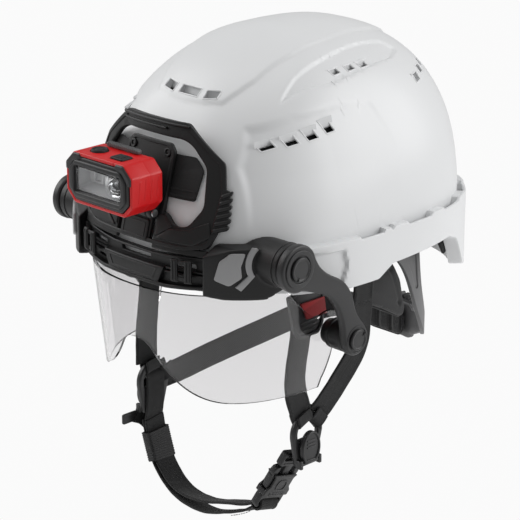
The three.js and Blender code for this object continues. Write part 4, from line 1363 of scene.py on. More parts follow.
def lens_front():
    nose = bezier((0, -62.5), (9, -62.5), (13, -66), (17, -72))
    cheek = bezier((17, -72), (26, -86), (42, -101), (62, -102.5), 20)
    low = bezier((62, -102.5), (78, -103.3), (95, -100), (112, -97))
    half = nose + cheek + low + [(112, -97), (112, LENS_TOP)]
    return [(-u, v) for u, v in half[::-1]] + half[1:]


def lens_side():
    ear = arc(PIVOT, 14, 132, -63, 26)
    front = [(-172, -18), (-84, -18)] + bezier((-84, -18), (-74, -30), (-66, -42), ear[0])
    low = bezier(ear[-1], (-38, -80), (-42, -89), (-47, -95)) + bezier((-47, -95), (-51, -104), (-55, -110),
            (-62, -114))
    return front + ear + low + [(-62, -114), (-172, -114)]


def lens_sheet():
    heights = np.linspace(-112, -12, 26)
    outer = grid(np.stack([lens_ring(z, 0) for z in heights]))
    inner = grid(np.stack([lens_ring(z, LENS_WALL) for z in np.linspace(-113, -11, 26)]))
    sheet = carved(outer, inner)
    front = moved(plate([lens_front()], 20, 172, 0.02, 0), along_y)
    side = moved(plate([lens_side()], -112, 112, 0.02, 0), along_x)
    sheet = carved(carved(sheet, front, "INTERSECT"), side, "INTERSECT")
    bore = spun_x([(0, -112), (3.8, -112), (3.8, 112), (0, 112)], PIVOT, 32)
    return carved(sheet, bore)


lens_mesh = modified(lens_sheet(), "BEVEL", width=0.45, segments=2, limit_method="ANGLE",
                     angle_limit=math.radians(50), use_clamp_overlap=True)
stand_in("lens", lens_mesh, clear_visor, "lens", 40)
print("lens faces:", len(lens_mesh.polygons))

# %% Lens bosses
def lens_boss():
    profile = [(3.6, 90.6), (8.8, 90.6), (9.0, 91.0), (9.0, 95.2), (9.8, 96.0), (10.9, 96.3), (10.9, 98.6),
               (10.3, 99.0),
               (10.3, 99.6), (10.9, 100), (10.9, 108.6), (10.0, 110.0), (3.6, 110.0)]
    return spun_x(profile, PIVOT, 64)


pair("lens_boss", lens_boss(), black_moulding, ("lens", "lens"), crease=30)
print("bosses made")

# %% [markdown]
# ## The lamp
# A red eight-sided body with a thick dark bezel let into its front. The bezel's upper corners run out
# over the body's chamfers. Behind the window sit a bright tray, a square flood light and a round spot
# optic. Two rubber buttons lie in wells on top, with the ribbed battery latch behind them.

# %% Lamp body, bezel and rear case
HINGE = np.array([-139.0, 31.0])


def lamp_outline(shrink, r=1.2, chamfer=8.0):
    w, low, high = 33 - shrink, 36 + shrink, 72 - shrink
    c = chamfer - shrink * 0.4
    corners = [(-w, low + c), (-w + c, low), (w - c, low), (w, low + c), (w, high - c), (w - c, high),
               (-w + c, high), (-w, high - c)]
    return rounded(corners, r)


def lamp_plate(outlines, back, front, edge=0.6, steps=2):
    return moved(plate(outlines, back, front, edge, steps), along_y)


def window_outline(grow=0.0, r=1.6):
    return box_outline(-22.2 - grow, 45.8 - grow, 22.2 + grow, 62.2 + grow, r)


def lamp_housing():
    core = lamp_plate([lamp_outline(0)], 143, 155.2, 1.4, 3)
    front = lamp_plate([lamp_outline(0), lamp_outline(2.4)], 153.6, 170.9, 0.9)
    lip = lamp_plate([box_outline(-19, 69.6, 15.5, 72.2, 0.8)], 166, 171.3, 0.8)
    wells = joined(plate([circle((-13, -158), 6.5)], 68, 76, 0.01, 0),
                   plate([box_outline(4.5, -165.5, 17.5, -154.5, 1)], 68, 76, 0.01, 0))
    ribs = []
    for k in range(4):
        y, z = -165.5 + 5.4 * k, 46 + 1.5 * (k % 2)
        shape = rounded([(y, z), (y + 1.6, z), (y + 3.4, z + 15), (y + 1.8, z + 15)], 0.6)
        rib = moved(plate([shape], 32.4, 33.22, 0.4), along_x)
        ribs += [rib, mirrored(rib)]
    return joined(carved(core, wells.copy()), carved(front, wells), lip, *ribs)


def lamp_bezel():
    ring = lamp_plate([lamp_outline(2.7, 1.5), window_outline(0.6)], 161.5, 171.6, 0.9, 3)
    rim = lamp_plate([lamp_outline(5.0, 1.8), window_outline(1.0, 2)], 170.6, 173.0, 1.1, 3)
    corner = [(15.5, 68.0), (18.0, 71.5), (24.7, 71.5), (32.4, 63.9), (32.4, 58.8), (29.5, 58.5),
              (24, 65.6), (20.5, 66)]
    corners = [lamp_plate([rounded([(s * u, v) for u, v in corner], 1)], 166, 172.0, 1.1, 3) for s in (-1,
            1)]
    return joined(ring, rim, *corners)


def lamp_rear():
    steps = [lamp_plate([lamp_outline(4.2, 3)], 138.6, 142.7, 1.2, 3),
             lamp_plate([lamp_outline(7.5, 4)], 135.8, 140, 1.6, 3)]
    knuckle = spun_x([(0, -14), (3.3, -14), (4, -13.3), (4, 13.3), (3.3, 14), (0, 14)], HINGE, 32)
    web = moved(plate([rounded([(-142.4, 30), (-136.6, 30), (-136.2, 43), (-142.4, 43)], 1)], -13.8, 13.8,
                      0.6), along_x)
    return joined(*steps, knuckle, web)


stand_in("lamp_housing", lamp_housing(), red_moulding, "lamp", 30)
stand_in("lamp_bezel", lamp_bezel(), dark_moulding, "lamp", 30)
finished("lamp_rear_cover", lamp_rear(), black_moulding, "lamp", ["lamp_rear_case"], 30)
print("lamp body made")

# %% Window, tray, flood light and spot optic
def lamp_tray():
    rings = [(window_outline(1.4), 155.6), (window_outline(1.4), 166.9), (window_outline(-0.2), 166.9),
             (window_outline(-3.4), 158.8)]
    tray = grid(np.array([[(u, -w, v) for u, v in ring] for ring, w in rings]))
    wall = lamp_plate([box_outline(-3.2, 48.5, -1.9, 59.5, 0.4)], 157, 163, 0.3)
    return joined(tray, wall)


def flood_light():
    frame_ring = lamp_plate([box_outline(-15.6, 49.9, -7.4, 58.1, 0.8),
            box_outline(-13.9, 51.6, -9.1, 56.4, 0.4)],
                            157.9, 160.6, 0.3)
    die = lamp_plate([box_outline(-14.2, 51.3, -8.8, 56.7, 0.3)], 157.8, 159.5, 0.2)
    return joined(frame_ring, die)


cup = spun_y([(0, 157.1), (4.2, 157.1), (8.3, 165.9), (8.0, 166.4), (7.5, 166.0), (3.9, 158.3), (0, 157.9)],
             (10, 54))
optic = spun_y([(0, 158.4), (3.4, 158.5), (5.2, 161.2), (6.9, 165.2), (6.9, 165.9), (3.1, 165.9),
                (2.5, 164.3),
                (0, 163.6)], (10, 54))
finished("lamp_window_cover", lamp_plate([window_outline(-0.1)], 169.5, 171.4, 0.3), clear_window, "lamp",
         ["lamp_window"])
finished("lamp_tray_cover", lamp_tray(), white_tray, "lamp", ["lamp_reflector"], 30)
stand_in("flood_light", flood_light(), white_tray, "lamp", 30)
finished("spot_cup", cup, bright_reflector, "lamp", crease=50)
stand_in("spot_optic", optic, clear_window, "lamp", 30)
print("lamp front made")

# %% Buttons and battery latch
power = turned([(0, 70.8), (6.0, 70.8), (6.0, 72.9), (5.5, 73.5), (4.6, 73.6), (4.2, 73.1), (3.3, 73.1),
                (2.9, 73.5),
                (0, 73.6)], 56)
power.transform(Matrix.Translation((-13, -158, 0)))
mode = [plate([box_outline(5.0, -165.0, 17.0, -155.0, 1)], 70.8, 73.3, 0.7, 3)]
for y in (-162.5, -160, -157.5):
    mode.append(plate([box_outline(7, y - 0.7, 15, y + 0.7, 0.6)], 72.8, 73.8, 0.4))
latch = [plate([box_outline(-18, -148, 14, -144, 0.9)], 72.4, 75.0, 0.7, 3)]
for x in np.arange(-16, 13, 2.0):
    latch.append(plate([box_outline(x - 0.45, -148.2, x + 0.45, -143.8, 0.3)], 73, 75.4, 0.3))
stand_in("power_button", power, rubber_button, "power_button", 40)
stand_in("mode_button", joined(*mode), rubber_button, "mode_button", 30)
stand_in("battery_latch", joined(*latch), grey_moulding, "lamp", 30)
print("buttons made")

# %% Bracket, hinge pin and the elastic strap behind them
def lamp_bracket():
    outside = [(-23, 26.5), (23, 26.5), (23, 71.5), (18.5, 76.4), (-18.5, 76.4), (-23, 71.5)]
    inside = [(u * 0.88, 51 + (v - 51) * 0.9) for u, v in outside]
    parts = [bent([rounded(outside, 2)], -3.2, -0.5, mount_front, 0.8),
             bent([rounded(outside, 2), rounded(inside, 2)], -1.2, 0.4, mount_front, 0.5)]
    for x in (-17, 17):
        parts.append(bent([circle((x, 70), 2.9, 24), circle((x, 70), 1.5, 24)], -1.2, 0.8, mount_front,
                          0.5))
        parts.append(bent([circle((x, 70), 1.7, 24)], -1.2, 0.1, mount_front, 0.4))
    for low, high in ((-18.9, -14.6), (14.6, 18.9)):
        ear = rounded([(-143, 31), (-141.5, 27.2), (-137, 26.8), (-126, 28), (-126, 44), (-134, 38),
                       (-141.5, 34.8)], 2)
        parts.append(moved(plate([ear], low, high, 0.7), along_x))
    return joined(*parts)


def behind_frame(grow):
    """The strap's form: just inside the mount frame, but never closer to the shell than `grow`."""
    def place(x, z):
        on_frame = front_form(lambda v: 106.9 - MOUNT_LEAN["side"] * (v - MOUNT_LOW),
                              lambda v: 135.9 - MOUNT_LEAN["front"] * (v - MOUNT_LOW))(x, z)
        on_shell = front_form(dome_width(grow), dome_depth(grow))(x, z)
        on_frame[..., 1] = np.minimum(on_frame[..., 1], on_shell[..., 1])
        return on_frame
    return wrapped(place)


def flat_weave(mesh, along=0):
    """Writes the flat plate's own lengths as its weave UV, before it is bent."""
    layer = mesh.uv_layers.new(name="weave")
    for loop in mesh.loops:
        co = mesh.vertices[loop.vertex_index].co
        layer.data[loop.index].uv = (co[1 - along], co[along])
    return mesh


def elastic_strap():
    band = plate([rounded([(-50, 41), (44, 41), (44, 60), (36, 68.5), (-42, 69), (-50, 61)], 2)], -0.7, 0.7,
                 0.3)
    rolls = [plate([box_outline(-49, v - 0.6, 43, v + 0.6, 0.5)], 0.3, 1.0, 0.3) for v in (43.2, 47)]
    whole = flat_weave(sliced(joined(band, *rolls), 0, np.arange(-53, 54, 2.0)))
    return moved(whole, behind_frame(1.8))


pin = spun_x([(0, -20.2), (2.6, -20.2), (2.8, -19.6), (2.6, -19.1), (1.8, -19.1), (1.8, 19.1), (2.6, 19.1),
              (2.8, 19.6), (2.6, 20.2), (0, 20.2)], HINGE, 24)
stand_in("lamp_bracket", lamp_bracket(), black_moulding, "helmet", 32)
stand_in("lamp_hinge_pin", pin, dull_steel, "helmet", 30)
stand_in("lamp_strap", elastic_strap(), elastic_band, "helmet", 40)
print("bracket made")

# %% [markdown]
# ## Chin strap
# Flat webbing runs from a guard under each side of the rim to a slider below the ear. Each slider is a
# hooped plate that the webbing loops round, with an oval cam lever on it. The straps are swept as ribbons
# that keep their own lengths, so the weave follows every turn, and the seams are short raised stitches.

# %% Stitches and loops
def stitches(points, widths, places, wide, lift, pitch=2.6, inset=2.0):
    """Two rows of stitches near the edges of a strap, between two places along it."""
    path, across, out = strip_frame(points, widths, 240)
    far = np.concatenate([[0], np.cumsum(np.linalg.norm(np.diff(path, axis=0), axis=1))])
    start, end = places[0] * far[-1], places[1] * far[-1]
    made = []
    for s in np.arange(start, end, pitch):
        for edge in (-1, 1):
            ends = []
            for reach in (s, s + pitch * 0.6):
                i = min(int(np.searchsorted(far, reach)), len(path) - 1)
                ends.append(path[i] + across[i] * edge * (wide / 2 - inset) + out[i] * lift)
            made.append(tube(ends, 0.28, 5))
    return joined(*made)


STRAP_SIDE = {"left": 1, "right": -1}
SLIDER_Y = {"left": -50.0, "right": -60.0}
SLIDER_Z = -142.0
SLIDER_FACES = (72.8, 77.2)


def sided(points, side):
    return [(STRAP_SIDE[side] * x, y, z) for x, y, z in points]


print("stitch tools ready")

# %% Front and rear straps
def front_strap(side):
    y = SLIDER_Y[side]
    points = sided([(77.5, -56, -30), (77.3, -57.5, -62), (76.6, -62, -98), (75.6, y - 3.6, -124.6)], side)
    widths = [(0, 1, 0.05), (0, 1, 0), (0, 1, 0.1), (0, 1, 0.45)]
    return points, widths


REAR_STRAPS = {
    "left": ([(90, -6, -32), (88, -6, -60), (84.5, -6, -84), (80, -18, -106), (77.5, -34, -123.5),
              (76, -38, -128)],
             [(0, 1, 0), (0, 1, 0), (0, 1, -0.5), (0, 1, -0.9), (0, 1, -0.9), (0, 1, -0.9)]),
    "right": ([(-73.4, -50, -138.6), (-75.6, -40, -139.8), (-73, 5, -134), (-65, 52, -126), (-56, 82, -119),
               (-46, 102, -114),
               (-34, 113.6, -112)],
              [(0, 0.25, 1), (0, 0.25, 1), (0, 0.2, 1), (0, 0.2, 1), (0, 0.2, 1)]),
}
REAR_BODY = {"left": "helmet", "right": ("helmet", "nape_cradle", (-0.065, 0.052, -0.126),
        (-0.046, 0.102, -0.114))}

for side in STRAP_SIDE:
    points, widths = front_strap(side)
    ribbon = strap(points, widths, ripple=0.12)
    stand_in(f"strap_front_{side}", ribbon, black_webbing, "helmet", 50)
    finished(f"strap_front_{side}_seam", stitches(points, widths, (0.78, 0.97), 20, 1.05), dark_thread,
             "helmet")
    points, widths = REAR_STRAPS[side]
    ribbon = strap(points, widths, ripple=0.12)
    stand_in(f"strap_rear_{side}", ribbon, black_webbing, REAR_BODY[side], 50)
    finished(f"strap_rear_{side}_seam", stitches(points, widths, (0.02, 0.14), 20, 1.05), dark_thread,
             "helmet")
print("straps made")

# %% Guards with their plain labels
def guard():
    outline = [(-74.5, -30), (-37, -30), (-39.5, -57), (-44, -63.6), (-64, -63.6), (-68.5, -57)]
    inner = [(-71.6, -32), (-39.9, -32), (-42, -56), (-45.5, -61), (-62.6, -61), (-66, -56)]
    body = plate([rounded(outline, 2.2)], 79.2, 81.2, 0.6, 3)
    rim = plate([rounded(outline, 2.2), rounded(inner, 2)], 80.6, 82.2, 0.6, 3)
    hem = [plate([box_outline(-62, z - 0.5, -46, z + 0.5, 0.4)], 80.9, 81.9, 0.4) for z in (-52.6, -55.4,
            -58.2)]
    return moved(joined(body, rim, *hem), along_x)


def label():
    """A plain woven label: no mark on it, only a folded edge."""
    shape = rounded([(-62, -38), (-38.5, -38), (-36.5, -50), (-57, -50)], 0.6)
    tag = flat_weave(plate([shape], 81.4, 82.9, 0.2))
    return moved(tag, along_x)


pair("strap_guard", guard(), dark_moulding, crease=30)
pair("strap_label", label(), red_label, crease=30)
print("guards made")

# %% Sliders with their webbing loops and cam levers
def slider(y):
    z = SLIDER_Z
    hoop = arc((y + 2, z + 3), 15, 0, 180, 36)
    rear = bezier((y + 8.5, z - 22), (y + 11, z - 22), (y + 11.4, z - 20), (y + 12, z - 17.5), 8)
    front = bezier((y - 9.7, z - 17.5), (y - 9.2, z - 20.5), (y - 9, z - 22), (y - 6.5, z - 22), 8)
    outline = [(y - 6.5, z - 22)] + rear + [(y + 17, z + 1)] + hoop + [(y - 13, z + 1)] + front
    window = arc((y + 2, z + 3), 10.2, 0, 180, 30)
    window += [(y - 8, z - 0.5), (y - 7.2, z - 1.4), (y + 11.2, z - 1.4), (y + 12, z - 0.5)]
    body = plate([outline, window], *SLIDER_FACES, 1.3, 3)
    groove = plate([arc((y + 2, z + 3), 13.9, -8, 188, 36) + arc((y + 2, z + 3), 11.9, 188, -8, 36)], 76.6,
                   77.8, 0.5)
    lugs = [plate([box_outline(m - 1.3, z - 22, m + 1.3, z - 15.5, 0.7)], 76.6, 81.5, 0.5)
            for m in (y - 8.4, y + 10.4)]
    bars = [plate([box_outline(y - 7, z - 8.2 + k, y + 9, z - 7.2 + k, 0.4)], 76.8, 77.7, 0.35) for k in (0,
            2.6, 5.2)]
    flat = moved(joined(body, groove, *lugs, *bars), along_x)
    pin = tube([(79.6, y - 9, z - 19), (79.6, y + 11, z - 19)], 1.35, 16)
    return joined(flat, pin)


def lever(y):
    z = SLIDER_Z - 8
    turn = np.radians(np.arange(-56, 237, 7))
    oval = [(y + 1 + 9.0 * math.cos(t), z + 13 * math.sin(t)) for t in turn]
    rim = [(y + 1 + 7.3 * math.cos(t), z + 0.6 + 10.8 * math.sin(t)) for t in turn]
    body = plate([oval], 77.7, 81.3, 1.3, 4)
    edge = plate([oval, rim], 80.4, 82.2, 0.8, 3)
    dots = [plate([box_outline(y - 3.2, z + k - 0.6, y + 5.2, z + k + 0.6, 0.5)], 80.9, 81.9,
                  0.4) for k in (1, 3.6, 6.2)]
    return moved(joined(body, edge, *dots), along_x)


def slider_loop(y, degrees, wide=13.5):
    """Webbing folded round the hoop of the slider, at an angle on the hoop."""
    out = np.array([0, math.cos(math.radians(degrees)), math.sin(math.radians(degrees))])
    side = np.array([0, -out[2], out[1]])
    ring = [(78.9, 5.5), (79.0, 1), (78.4, -2.6), (76.2, -4.6), (73.6, -4.6), (71.6, -2.6), (71.0, 1),
            (71.2, 5.5)]
    points = [np.array([x, y + 2, SLIDER_Z + 3]) + out * (12.5 + d) for x, d in ring]
    return strap(points, [tuple(side)] * 2, wide, 1.5, 40, 0.05)


LOOP_ANGLES = {"left": (112, 42), "right": (100, 20)}
for side, sign in STRAP_SIDE.items():
    y = SLIDER_Y[side]
    loops = joined(*(slider_loop(y, degrees) for degrees in LOOP_ANGLES[side]))
    shapes = [slider(y), lever(y), loops]
    shapes = shapes if sign > 0 else [mirrored(s) for s in shapes]
    stand_in(f"slider_{side}", shapes[0], dark_moulding, "helmet", 34)
    stand_in(f"cam_lever_{side}", shapes[1], dark_moulding, f"cam_lever_{side}", 34)
    finished(f"slider_loop_{side}", shapes[2], black_webbing, "helmet", crease=50)
print("sliders made")

# %% [markdown]
# ## Chin webbing, keeper and buckle
# Two layers of webbing hang in a curve from the right slider, held together by a ribbed sleeve. The
# buckle's socket grips their end, and its plug sits under the left slider. The two spring tabs at its
# sides release it.

# %% Chin webbing and keeper
CHIN_LOWER = [(-75, -60, -168.5), (-74, -58, -182), (-66, -58, -203), (-42, -62, -219), (-8, -66, -222),
              (20, -66, -214), (38, -65, -206), (45.5, -63.8, -200.5)]
CHIN_UPPER = [(-72, -60, -168.5), (-71, -58, -182), (-63, -58, -200), (-40, -62, -214.5), (-8, -66, -214),
              (18, -66, -207), (38, -65, -201.5), (45.5, -63.8, -197.5)]
LEVEL = [(0, 1, 0)] * 3
TILTED = [(0, 1, 0), (0, 1, 0), (0, 1, -0.12), (0, 1, -0.24), (0, 1, -0.2), (0, 1, -0.1)]
THROUGH_HOOP = [(-75.2, -58, -131), (-72.4, -58, -134.5), (-71.7, -58.2, -142), (-71.6, -59, -156),
                (-72.6, -59.6, -168),
                (-73.4, -59.2, -176)]
chin = joined(strap(CHIN_LOWER, TILTED, 18.5, 1.6, 120, 0.1),
              strap(CHIN_UPPER, TILTED, 18.5, 1.6, 120, 0.12),
              strap(THROUGH_HOOP, LEVEL, 17.5, 1.5, 50, 0.15))
seam = joined(stitches(CHIN_LOWER, LEVEL, (0.84, 0.98), 18.5, -1.0),
              stitches(CHIN_LOWER, LEVEL, (0.03, 0.12), 18.5, -1.0),
              stitches(CHIN_LOWER, LEVEL, (0.03, 0.12), 18.5, 1.0))
stand_in("chin_strap", chin, black_webbing, "helmet", 50)
finished("chin_strap_seam", seam, dark_thread, "helmet")


def sleeve(points, wide, thick, wall, steps=110, ribs=13, rise=0.5):
    """A ribbed tube of flat section round the webbing."""
    path, across, out = strip_frame(points, LEVEL, steps)
    rows = []
    for grow, order in ((0, 1), (-wall, -1)):
        section = box_outline(-wide / 2 - grow, -thick / 2 - grow, wide / 2 + grow, thick / 2 + grow,
                              1.2 if grow else 2.6)
        for i in range(steps + 1)[::order]:
            swell = 1 + (rise / thick * max(0.0, math.sin(i / steps * ribs * math.tau)) if not grow else 0)
            rows.append([path[i] + across[i] * a * (1 + (swell - 1) * 0.5) + out[i] * b * swell for a,
                         b in section])
    return grid(np.array(rows), round_u=True)


KEEPER = [(-72.8, -58.4, -179), (-70, -57.8, -190), (-65.6, -58.2, -201)]
keeper = sleeve(KEEPER, 21.8, 9.0, 1.3)
stand_in("keeper_sleeve", keeper, rubber_button, "helmet", 40)
tab = moved(joined(plate([box_outline(-82, -172, -68, -164, 1.6)], -84, -81.8, 0.7, 3),
                   plate([box_outline(-80, -169.4, -70, -166.6, 1.0)], -84.6, -83.6, 0.4)), along_x)
tail = [(-83, -70, -167.5), (-80.5, -64, -170.5), (-78, -60.4, -175.5), (-76, -58.6, -183)]
finished("strap_tail", strap(tail, [(0, 0.5, 1), (0, 0.7, 0.6), (0, 1, 0)], 11, 1.4, 30, 0.05),
         black_webbing, "helmet",
         crease=50)
stand_in("strap_end_tab", tab, dark_moulding, "helmet", 34)
print("chin webbing made")

# %% Buckle
BUCKLE_AT = np.array([58.0, -57.0, -177.0])
buckle_up = np.array([0.4, 0.24, 0.88]) / np.linalg.norm([0.4, 0.24, 0.88])
buckle_across = np.array([0.1, 1.0, 0.0]) - buckle_up * (np.array([0.1, 1.0, 0.0]) @ buckle_up)
buckle_across /= np.linalg.norm(buckle_across)
buckle_through = np.cross(buckle_across, buckle_up)


def in_buckle(p):
    """Plate (u, v, w): u across the strap, v along it, w through the buckle."""
    return BUCKLE_AT + p[:, :1] * buckle_across + p[:, 1:2] * buckle_up + p[:, 2:] * buckle_through


def waisted(v0, v1, wide, waist, low, high):
    right = [(wide, v0), (wide, low - 2), (waist, low + 1.5), (waist, high - 1.5), (wide - 0.6, v1)]
    return rounded(right + [(-u, v) for u, v in right[::-1]], 1.2)


def buckle_socket():
    faces = [plate([waisted(-14, 5, 12.5, 9.6, -7, 4)], low, high, 0.6, 3) for low,
             high in ((3.0, 4.8), (-4.8, -3.0))]
    block = plate([box_outline(-12.4, -14, 12.4, -9.2, 1.2)], -4.4, 4.4, 1.0, 3)
    bow = plate([box_outline(-12.4, -26, 12.4, -12, 4), box_outline(-9.8, -22.4, 9.8, -18, 1.4)], -3.3, 3.3,
                1.3, 3)
    crest = [plate([box_outline(-5, -9, 5, 1, 4), box_outline(-4, -8, 4, 0, 3.2)], s * 4.9 - 0.4,
                   s * 4.9 + 0.4, 0.25)
             for s in (-1, 1)]
    ribs = [plate([box_outline(-8, v - 0.5, 8, v + 0.5, 0.4)], -5.2, 5.2, 0.4) for v in (-12.9, -11.2)]
    return moved(joined(*faces, block, bow, *crest, *ribs), in_buckle)


def bow_roll():
    """Webbing rolled round the bar at the end of the socket."""
    ring = [(-24.2 + 4.6 * math.cos(a), 4.6 * math.sin(a)) for a in np.radians(np.arange(-70, 262, 22))]
    points = [BUCKLE_AT + buckle_up * v + buckle_through * w for v, w in ring]
    return strap(points, [tuple(buckle_across)] * 2, 18, 1.5, 50, 0)


def buckle_plug():
    base = plate([box_outline(-11, 12, 11, 24, 2.4), box_outline(-8.8, 17.4, 8.8, 21, 1.2)], -2.8, 2.8, 1.1,
                 3)
    prong = plate([box_outline(-3.5, -8, 3.5, 13, 1.2)], -2.5, 2.5, 0.8)
    rib = plate([box_outline(-8, 13.6, 8, 15.2, 0.6)], -3.2, 3.2, 0.5)
    return moved(joined(base, prong, rib), in_buckle)


def buckle_tab(side):
    inner = [(side * 7.6, 11.6), (side * 7.6, -8), (side * 11.6, -8), (side * 11.8, 2.5)]
    shape = inner + bezier((side * 11.8, 2.5), (side * 13.8, 5.4), (side * 13.6, 8.2), (side * 10.8, 11.6),
            10)
    tab_plate = plate([rounded(shape, 0.6, 2)], -2.6, 2.6, 0.8, 3)
    grips = [plate([box_outline(min(side * 11.2, side * 12.9), v - 0.35, max(side * 11.2, side * 12.9),
            v + 0.35, 0.3)],
                   -2.0, 2.0, 0.3) for v in (3.4, 5.0, 6.6)]
    return moved(joined(tab_plate, *grips), in_buckle)


stand_in("buckle_socket", buckle_socket(), dark_moulding, "helmet", 34)
stand_in("buckle_plug", buckle_plug(), dark_moulding, "helmet", 34)
finished("buckle_roll", bow_roll(), black_webbing, "helmet", crease=50)
for name, side in (("buckle_tab_front", -1), ("buckle_tab_rear", 1)):
    stand_in(name, buckle_tab(side), dark_moulding, name, 34)

plug_web = [(74, -49.5, -157.5), (71.5, -50.4, -158.4), (67.6, -51.8, -158.8), (64.8, -52.8, -160.8)]
finished("plug_webbing", strap(plug_web, [(0, 1, 0), tuple(buckle_across)], 16.5, 1.5, 30, 0.05),
         black_webbing, "helmet",
         crease=50)
print("buckle made")

# %% [markdown]
# ## Nape cradle
# Two narrow arms hang from inside the rim and hold a plate behind the neck, with the size knob on it.
# Soft wedges sit inside the arms and a pad inside the plate. The whole cradle slides a little when the
# knob is turned.

# %% Nape arms and plate
NAPE_POWER = 2.3
NAPE_WIDE, NAPE_LONG, NAPE_Y = 72, 100, 24
KNOB_Z = -116


def nape_side():
    """Wraps (y, z) outlines onto the left flank of the cradle's form, w outwards."""
    def place(u, z):
        share = np.clip(np.abs(u - NAPE_Y) / NAPE_LONG, 0, 0.995)
        return np.stack([NAPE_WIDE * (1 - share ** NAPE_POWER) ** (1 / NAPE_POWER), u, z + 0 * u], -1)
    return wrapped(place)


def nape_back():
    """Wraps (x, z) outlines onto the back of the cradle's form, w outwards."""
    def place(u, z):
        share = np.clip(np.abs(u) / NAPE_WIDE, 0, 0.995)
        return np.stack([-u, NAPE_Y + NAPE_LONG * (1 - share ** NAPE_POWER) ** (1 / NAPE_POWER), z + 0 * u],
                        -1)
    return wrapped(place)


def nape_arm():
    front = bezier((45, -33), (60, -45), (66, -62), (76, -80)) + bezier((76, -80), (86, -97), (96, -108),
            (108, -116.5))
    rear = bezier((115, -110), (106, -99), (95, -90), (86, -66)) + bezier((86, -66), (81, -50), (79, -34),
            (77, -18.5))
    shape = [(41, -18.5)] + front + rear + [(77, -18.5)]
    inset = [(49, -23), (72, -23), (73.5, -36), (76, -52), (78.5, -66), (73, -64), (68, -51), (60, -38)]
    arm_plate = plate([shape], 0, 2.4, 0.9, 3)
    rib = plate([shape, rounded(inset, 3)], 1.6, 3.2, 0.6)
    return moved(sliced(joined(arm_plate, rib), 0, np.arange(42, 112, 2.5)), nape_side())


def nape_plate():
    shape = box_outline(-26, -129.6, 26, -102.4, 9, 10)
    base = plate([shape, circle((0, KNOB_Z), 5, 32)], 0, 2.4, 0.9, 3)
    rib = plate([shape, box_outline(-22.5, -126.4, 22.5, -105.6, 6.5, 10)], 1.6, 3.4, 0.6)
    bridges = [plate([rounded([(s * 22, -127), (s * 48, -113), (s * 50, -101), (s * 40, -103),
            (s * 22, -106)], 2.5)], 0,
                     2.4, 0.9, 3) for s in (-1, 1)]
    return moved(sliced(joined(base, rib, *bridges), 0, np.arange(-48, 49, 2.5)), nape_back())


left_arm = nape_arm()
nape = joined(left_arm, mirrored(left_arm), nape_plate())
stand_in("nape_frame", nape, grey_moulding, "nape_cradle", 34)


print("nape arm and plate tools ready")

# %% Ratchet housing and knob
def ratchet_box():
    outside = box_outline(-17, -128.4, 17, -103.6, 7.6, 8)
    rear = plate([outside, circle((0, KNOB_Z), 8.9, 40)], 127.3, 133.8, 1.6, 4)
    lip = plate([outside, box_outline(-14.4, -125.8, 14.4, -106.2, 5.4, 8)], 132.8, 134.2, 0.5)
    return moved(joined(rear, lip), backwards)


def knob():
    turn = np.linspace(0, math.tau, 240, endpoint=False)
    radius = 14.2 + 0.8 * np.tanh(3 * np.sin(20 * turn))
    edge = list(zip(radius * np.cos(turn), KNOB_Z + radius * np.sin(turn)))
    wheel = plate([edge], 134.4, 143, 1.4, 3)
    grips = []
    for k in range(10):
        grip = plate([box_outline(7.6, -0.9, 12.0, 0.9, 0.5)], 142.4, 143.8, 0.5)
        grip.transform(Matrix.Translation((0, KNOB_Z, 0)) @ Matrix.Rotation(k * math.tau / 10, 4, "Z"))
        grips.append(grip)
    ring = plate([circle((0, KNOB_Z), 6.4, 48), circle((0, KNOB_Z), 5.2, 48)], 142.5, 143.5, 0.4)
    stem = plate([circle((0, KNOB_Z), 4, 32)], 128, 135, 0.3)
    return moved(joined(wheel, *grips, ring, stem), backwards)


stand_in("ratchet_housing", ratchet_box(), dark_moulding, "nape_cradle", 34)
stand_in("ratchet_knob", knob(), dark_moulding, "nape_knob", 34)
print("nape frame made")

# %% [markdown]
# ## Soft pads
# Each pad is foam in a knitted cover. A plain block would look hard, so each cover is simulated as cloth
# with a little air pressure inside, like a real sewn cover over foam. The simulation erases seams, so the
# sewn channels are pressed in afterwards and a welt is laid round the edge. The side that rests on the
# frame stays flat.

# %% Covers blown up as cloth
COVER_VOXEL = 1.5
CLOTH_FRAMES = 20
AIR_PRESSURE = 4.0


def blown(flat, cap):
    """The closed cover after a short cloth simulation under pressure, no point moved further than cap."""
    mesh = modified(flat, "REMESH", mode="VOXEL", voxel_size=COVER_VOXEL)
    mesh.transform(Matrix.Scale(MM, 4))
    before = np.array([v.co for v in mesh.vertices])
    cover = bpy.data.objects.new("cover", mesh)
    bpy.context.scene.collection.objects.link(cover)
    # The cover has no weight here, only air inside it, so it swells and doesn't sag.
    cloth = cover.modifiers.new("cloth", "CLOTH")
    cloth.settings.use_pressure = True
    cloth.settings.uniform_pressure_force = AIR_PRESSURE
    cloth.settings.effector_weights.gravity = 0
    cloth.collision_settings.use_collision = False
    for step in range(1, CLOTH_FRAMES + 1):
        bpy.context.scene.frame_set(step)
    swollen = cover.evaluated_get(bpy.context.evaluated_depsgraph_get())
    after = np.array([v.co for v in swollen.data.vertices])
    bpy.data.objects.remove(cover)
    bpy.context.scene.frame_set(1)
    shift = after - before
    length = np.linalg.norm(shift, axis=1)[:, None] + 1e-12
    after = before + shift * np.minimum(1, cap * MM / length)
    return moved(mesh, lambda p: after / MM)


